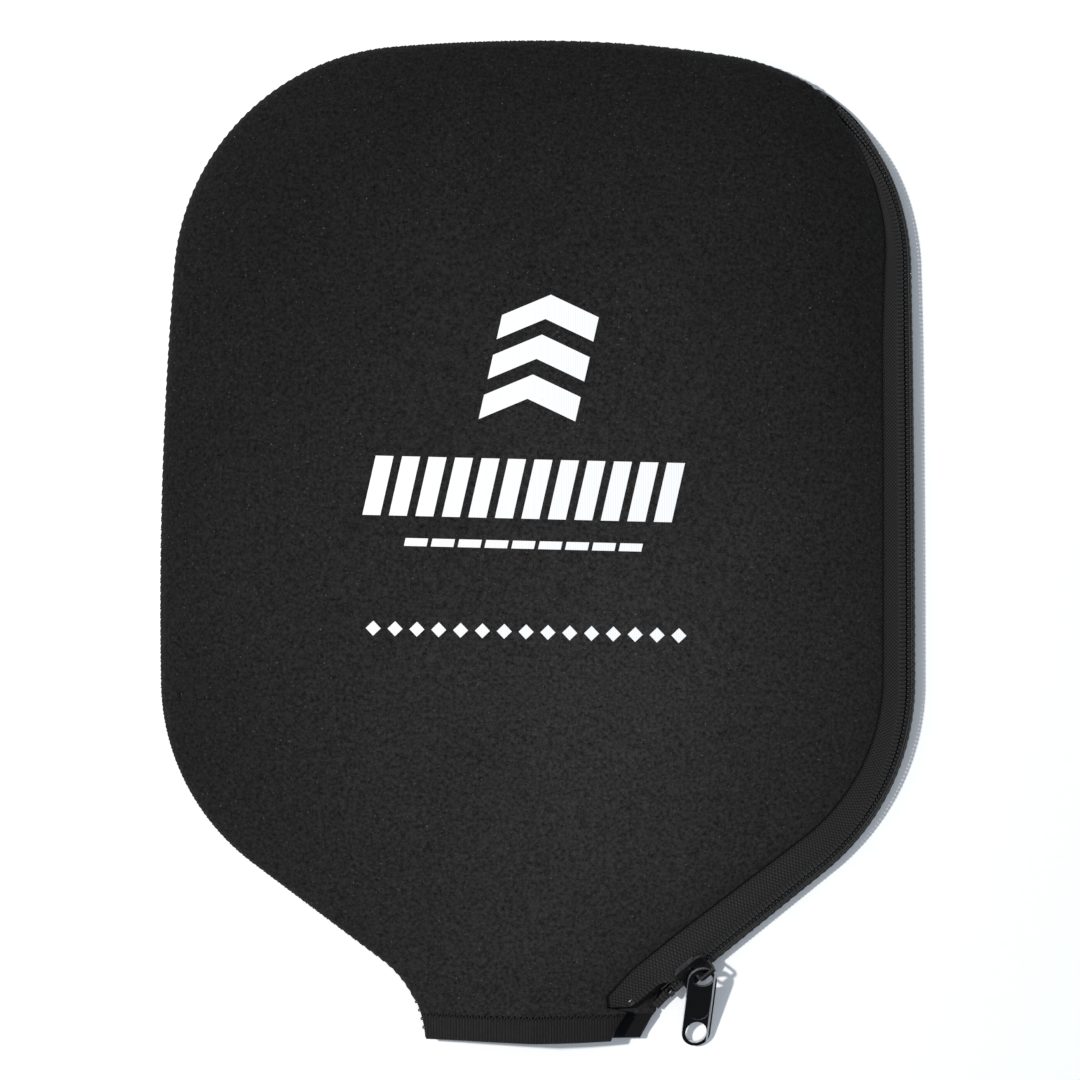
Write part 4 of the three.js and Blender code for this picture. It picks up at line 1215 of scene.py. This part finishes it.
def rounded_hem_rings(surface_top, surface_under, right_setback, inner_reach):
    """The binding's section at each station: over the panel's face, round its cut edge and back."""
    share = np.linspace(0, 1, HEM_STATIONS)
    rows = []

    def add_row(y, surface, lift):
        level = max(y, HEM_TURN_FROM) + 0 * share
        x = across_neck(share, level, right_setback)
        rows.append((x, y, surface(x, level) + lift))

    for y, lift in HEM_FACE:
        add_row(y, surface_top, lift)
    x, _, top = rows[-1]
    under = surface_under(x, HEM_TURN_FROM + 0 * share) - 0.25
    for angle in np.radians([65, 40, 15, -15, -40, -65, -90]):
        turned = (top + under) / 2 + (top - under) / 2 * np.sin(angle)
        rows.append((x, 1.15 - 1.1 * np.cos(angle), turned))
    tip = inner_reach - 0.3
    for y, lift in ((2.2, -0.25), (inner_reach - 2, -0.3), (tip, -0.25), (inner_reach, 0.1),
                    (tip, 0.3)):
        add_row(y, surface_under, lift)
    return ribbed(np.stack([stacked(*row) for row in rows], axis=1))


def ribbed(rings):
    """Pushes the ribs out of the binding's face and lifts its lower edge by the sag."""
    x, y = rings[..., 0], rings[..., 1]
    rings[..., 2] += 0.07 * np.sin(2 * math.pi * x / RIB_PITCH) * smoothstep(8.2 - y, 0, 0.6)
    rings[..., 1] += hem_sag(x) * smoothstep(8.5 - y, 0, 8.5)
    return rings


def add_hem(name, rings):
    across = np.cumsum(np.hypot(*np.diff(rings[0][:, 1:], axis=0, prepend=rings[0][:1, 1:]).T))
    shape = Shape()
    shape.add_tube(rings, stacked(rings[..., 0], across[None, :], 0))
    return add_mesh(name, shape, HEM, 60)


def front_hem():
    rings = rounded_hem_rings(lambda x, y: front_top(x, y) + 0.05, front_under,
                              FRONT_HEM_SHORT, 6.0)
    return add_hem("front_hem_binding", rings)


def back_hem():
    rings = rounded_hem_rings(lambda x, y: -back_surfaces(x, y)[1] + 0.05,
                              lambda x, y: -back_surfaces(x, y)[0], SEAM_SETBACK, 7.8)
    return add_hem("back_hem_binding", rings * (1, 1, -1))


def hem_stitches(name, surface, facing, right_setback):
    """A flat zigzag over the binding's upper edge."""
    shape = Shape()
    rise = (0, 0, 0.16 * facing)

    def at(x, y):
        return np.array([x, y, float(surface(np.array([x]), np.array([y]))[0]) * facing])

    left = float(across_neck(0.02, 8.0, right_setback))
    right = float(across_neck(0.985, 8.0, right_setback))
    for x in np.arange(left, right - ZIGZAG_PITCH, ZIGZAG_PITCH):
        sway = 0.25 * math.sin(x / 6.5)
        low, high = 7.2 + sway, 9.2 + sway
        peak = at(x + ZIGZAG_PITCH / 2, high)
        add_stitch(shape, (at(x, low), peak), rise, 0.15)
        add_stitch(shape, (peak, at(x + ZIGZAG_PITCH, low)), rise, 0.15)
    return add_mesh(name, shape, THREAD, 80)


def stitch_level(surface):
    """A stitch's level over a panel's surface, raised by the band where it lies on that."""
    def level(x, y):
        on_panel = y > 8.3
        beside = np.where(on_panel, np.maximum(y, 8.7), np.minimum(y, 8.2))
        return surface(x, beside) + np.where(on_panel, 0, 0.95)
    return level


# ---------------------------------------------------------------- the print

PRINT_TURN = math.radians(-1.4)
PRINT_CENTRE = (-3.0, 162.0)
INK_RISE = 0.07
INK_DEPTH = 0.15
ITALIC = 0.2


def printed(x, y):
    """Turns the print a little, as it sits on the cloth."""
    dx, dy = x - PRINT_CENTRE[0], y - PRINT_CENTRE[1]
    c, s = math.cos(PRINT_TURN), math.sin(PRINT_TURN)
    return PRINT_CENTRE[0] + dx * c - dy * s, PRINT_CENTRE[1] + dx * s + dy * c


def add_patch(shape, corners, across, up):
    """A patch of ink over four corners, following the cloth."""
    u = np.linspace(0, 1, across + 1)[None, :]
    v = np.linspace(0, 1, up + 1)[:, None]
    (ax, ay), (bx, by), (cx, cy), (dx, dy) = corners
    x = mix(mix(ax, bx, u), mix(dx, cx, u), v)
    y = mix(mix(ay, by, u), mix(dy, cy, u), v)
    x, y = printed(x, y)
    top = front_surfaces(x, y)[0] + soft_unevenness(x, y)
    shape.add_slab(stacked(x, y, top + INK_RISE), stacked(x, y, top - INK_DEPTH))


def slanted(x, y, width, height):
    lean = ITALIC * height
    return [(x, y), (x + width, y), (x + width + lean, y + height), (x + lean, y + height)]


def emblem():
    """Three stacked chevrons, each of two slanted arms."""
    shape = Shape()
    arm, rise, stroke = 13.5, 6.0, 6.8
    lean = ITALIC * stroke
    for level in (0, 11.2, 22.4):
        x, y = -17.5 + ITALIC * level, 176.5 + level
        left, peak, right = (x, y), (x + arm, y + rise), (x + 2 * arm, y)
        for start, end in ((left, peak), (peak, right)):
            upper = [(at[0] + lean, at[1] + stroke) for at in (end, start)]
            add_patch(shape, [start, end, *upper], 8, 4)
    return add_mesh("print_emblem", shape, INK, 30)


def print_bars():
    """A row of slanted bars, a thin rule and a row of small diamonds under the emblem."""
    shape = Shape()
    for i in range(12):
        add_patch(shape, slanted(-49.3 + 7.4 * i, 149, 5.0, 16.6), 4, 8)
    for i in range(9):
        add_patch(shape, slanted(-37.5 + 7.5 * i, 140.6, 6.3, 2.2), 5, 2)
    for i in range(15):
        x, y, half = -45.5 + 6.1 * i, 117.4, 2.1
        add_patch(shape, [(x - half, y), (x, y - half), (x + half, y), (x, y + half)], 3, 3)
    return add_mesh("print_bars", shape, INK, 30)


# ---------------------------------------------------------------- putting it together

FOLD = "fold"


def fold_line():
    """The fold's middle and a point FOLD_SOFTNESS towards the neck, in the row frame."""
    x, y, nx, ny = outline_at(ZIP_HALF, SLIDER_OPEN_S)
    end = np.array([x + nx * FOLD_END_INSET, y + ny * FOLD_END_INSET])
    start = np.array(FOLD_START)
    along = (end - start) / np.linalg.norm(end - start)
    towards_neck = np.array([along[1], -along[0]])
    middle = (start + end) / 2
    far = middle + towards_neck * FOLD_SOFTNESS
    return tuple(to_row([*middle, FOLD_LEVEL])), tuple(to_row([*far, FOLD_LEVEL]))


def settle(piece, slot, body, *nodes):
    """Hides the CAD nodes that a piece stands in for and puts the piece on its body; one on the
    fold only has its transform baked in, with no body. The slot is not used."""
    if nodes:
        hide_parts(*nodes)
    if body == FOLD:
        start, end = fold_line()
        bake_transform(piece)
    else:
        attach(piece, body)


def bevelled(node, material, width):
    """A packed metal piece with its own finish and softened edges."""
    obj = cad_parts[node]
    obj.data.materials.clear()
    obj.data.materials.append(material)
    dissolve = obj.modifiers.new("flat_faces", "DECIMATE")
    dissolve.decimate_type = "DISSOLVE"
    dissolve.angle_limit = math.radians(2)
    bevel = obj.modifiers.new("soft_edges", "BEVEL")
    bevel.width = width * MM
    bevel.segments = 3
    bevel.limit_method = "ANGLE"
    bevel.angle_limit = math.radians(32)
    bevel.harden_normals = True
    obj.data.shade_smooth()


def build_case():
    front = front_panel()
    settle(front, "jersey", FOLD, "front_panel", "neck_lip_panel")
    back = back_panel()
    settle(back, "jersey", "case", "back_panel")
    settle(closed_seam_stitches(), "thread", "case", "closed_seam_thread")


def build_zip():
    settle(front_tape(), "zip_tape", FOLD, "front_zip_tape", "lip_zip_tape")
    settle(back_tape(), "zip_tape", "case", "back_zip_tape")
    settle(coil(True), "coil", FOLD, "front_coil", "lip_coil")
    settle(coil(False), "coil", "case", "back_coil")
    settle(front_zip_stitches(), "thread", FOLD, "front_zip_stitching", "lip_zip_stitching")
    settle(back_zip_stitches(), "thread", "case", "back_zip_stitching")
    settle(bottom_stop(), "stop_metal", "case", "zip_bottom_stop")
    settle(strand_stop(False), "stop_metal", "case", "back_top_stop")
    settle(strand_stop(True), "stop_metal", "neck_lip", "front_top_stop")


def build_hem():
    settle(front_hem(), "hem_knit", FOLD, "corner_hem_band", "front_hem_band")
    settle(back_hem(), "hem_knit", "case", "back_hem_band")
    upper, lower = stitch_level(front_top), stitch_level(lambda x, y: -back_surfaces(x, y)[1])
    stitches = hem_stitches("front_hem_zigzag", upper, 1, FRONT_HEM_SHORT)
    settle(stitches, "thread", FOLD, "corner_hem_stitching", "front_hem_stitching")
    stitches = hem_stitches("back_hem_zigzag", lower, -1, SEAM_SETBACK)
    settle(stitches, "thread", "case", "back_hem_stitching")


def build_slider():
    bevelled("slider_body", black_enamel("enamel_slider", SLIDER_FACE, 0.16), 0.28)
    # The pull's edges and a band down its side are lightened towards metal as a painted highlight.
    pull = black_enamel("enamel_pull", PULL_FACE, 0.6, PULL_ACROSS, PULL_HIGHLIGHT_BAND)
    bevelled("pull_tab", pull, 0.26)


def build_print():
    for piece in (emblem(), print_bars()):
        settle(piece, "jersey", "case")


# ---------------------------------------------------------------- stage, light and camera

FRAME_WIDTH = 307.8
LENS = 85.0
SENSOR = 36.0
OUTLINE_LEVEL = 5.0
FRAME_MIDDLE_Y = 143.07
FLOOR_LEVEL = -0.0002
KEY_PLACE = (-0.62, 0.16, 1.0)


def add_floor():
    mesh = bpy.data.meshes.new("floor")
    reach = 3.0
    corners = [(-reach, -reach), (reach, -reach), (reach, reach), (-reach, reach)]
    mesh.from_pydata([(x, y, FLOOR_LEVEL) for x, y in corners], [], [(0, 1, 2, 3)])
    mesh.materials.append(floor_paper())
    floor = bpy.data.objects.new("floor", mesh)
    bpy.context.scene.collection.objects.link(floor)


def add_lights():
    """A small key light from the upper left, and a bluish sky all round."""
    data = bpy.data.lights.new("key", "AREA")
    data.shape = "RECTANGLE"
    data.size = data.size_y = 0.06
    data.energy = 13.5
    data.color = (1, 0.98, 0.95)
    light = bpy.data.objects.new("key", data)
    bpy.context.scene.collection.objects.link(light)
    light.location = KEY_PLACE
    light.rotation_mode = "QUATERNION"
    light.rotation_quaternion = (-Vector(KEY_PLACE)).to_track_quat("-Z", "Y")
    world = bpy.data.worlds.new("studio")
    bpy.context.scene.world = world
    world.use_nodes = True
    background = world.node_tree.nodes["Background"]
    background.inputs["Color"].default_value = (0.83, 0.91, 1, 1)
    background.inputs["Strength"].default_value = 0.53


def add_camera():
    data = bpy.data.cameras.new("camera")
    data.lens = LENS
    data.sensor_width = SENSOR
    camera = bpy.data.objects.new("camera", data)
    bpy.context.scene.collection.objects.link(camera)
    distance = FRAME_WIDTH / 2 * LENS / (SENSOR / 2)
    camera.location = tuple(to_row([0, FRAME_MIDDLE_Y, OUTLINE_LEVEL + distance]))
    data.clip_start, data.clip_end = 0.01, 20
    bpy.context.scene.camera = camera


add_floor()
add_lights()
add_camera()
bpy.context.scene.view_settings.view_transform = "Standard"
build_case()
build_zip()
build_hem()
build_slider()
build_print()
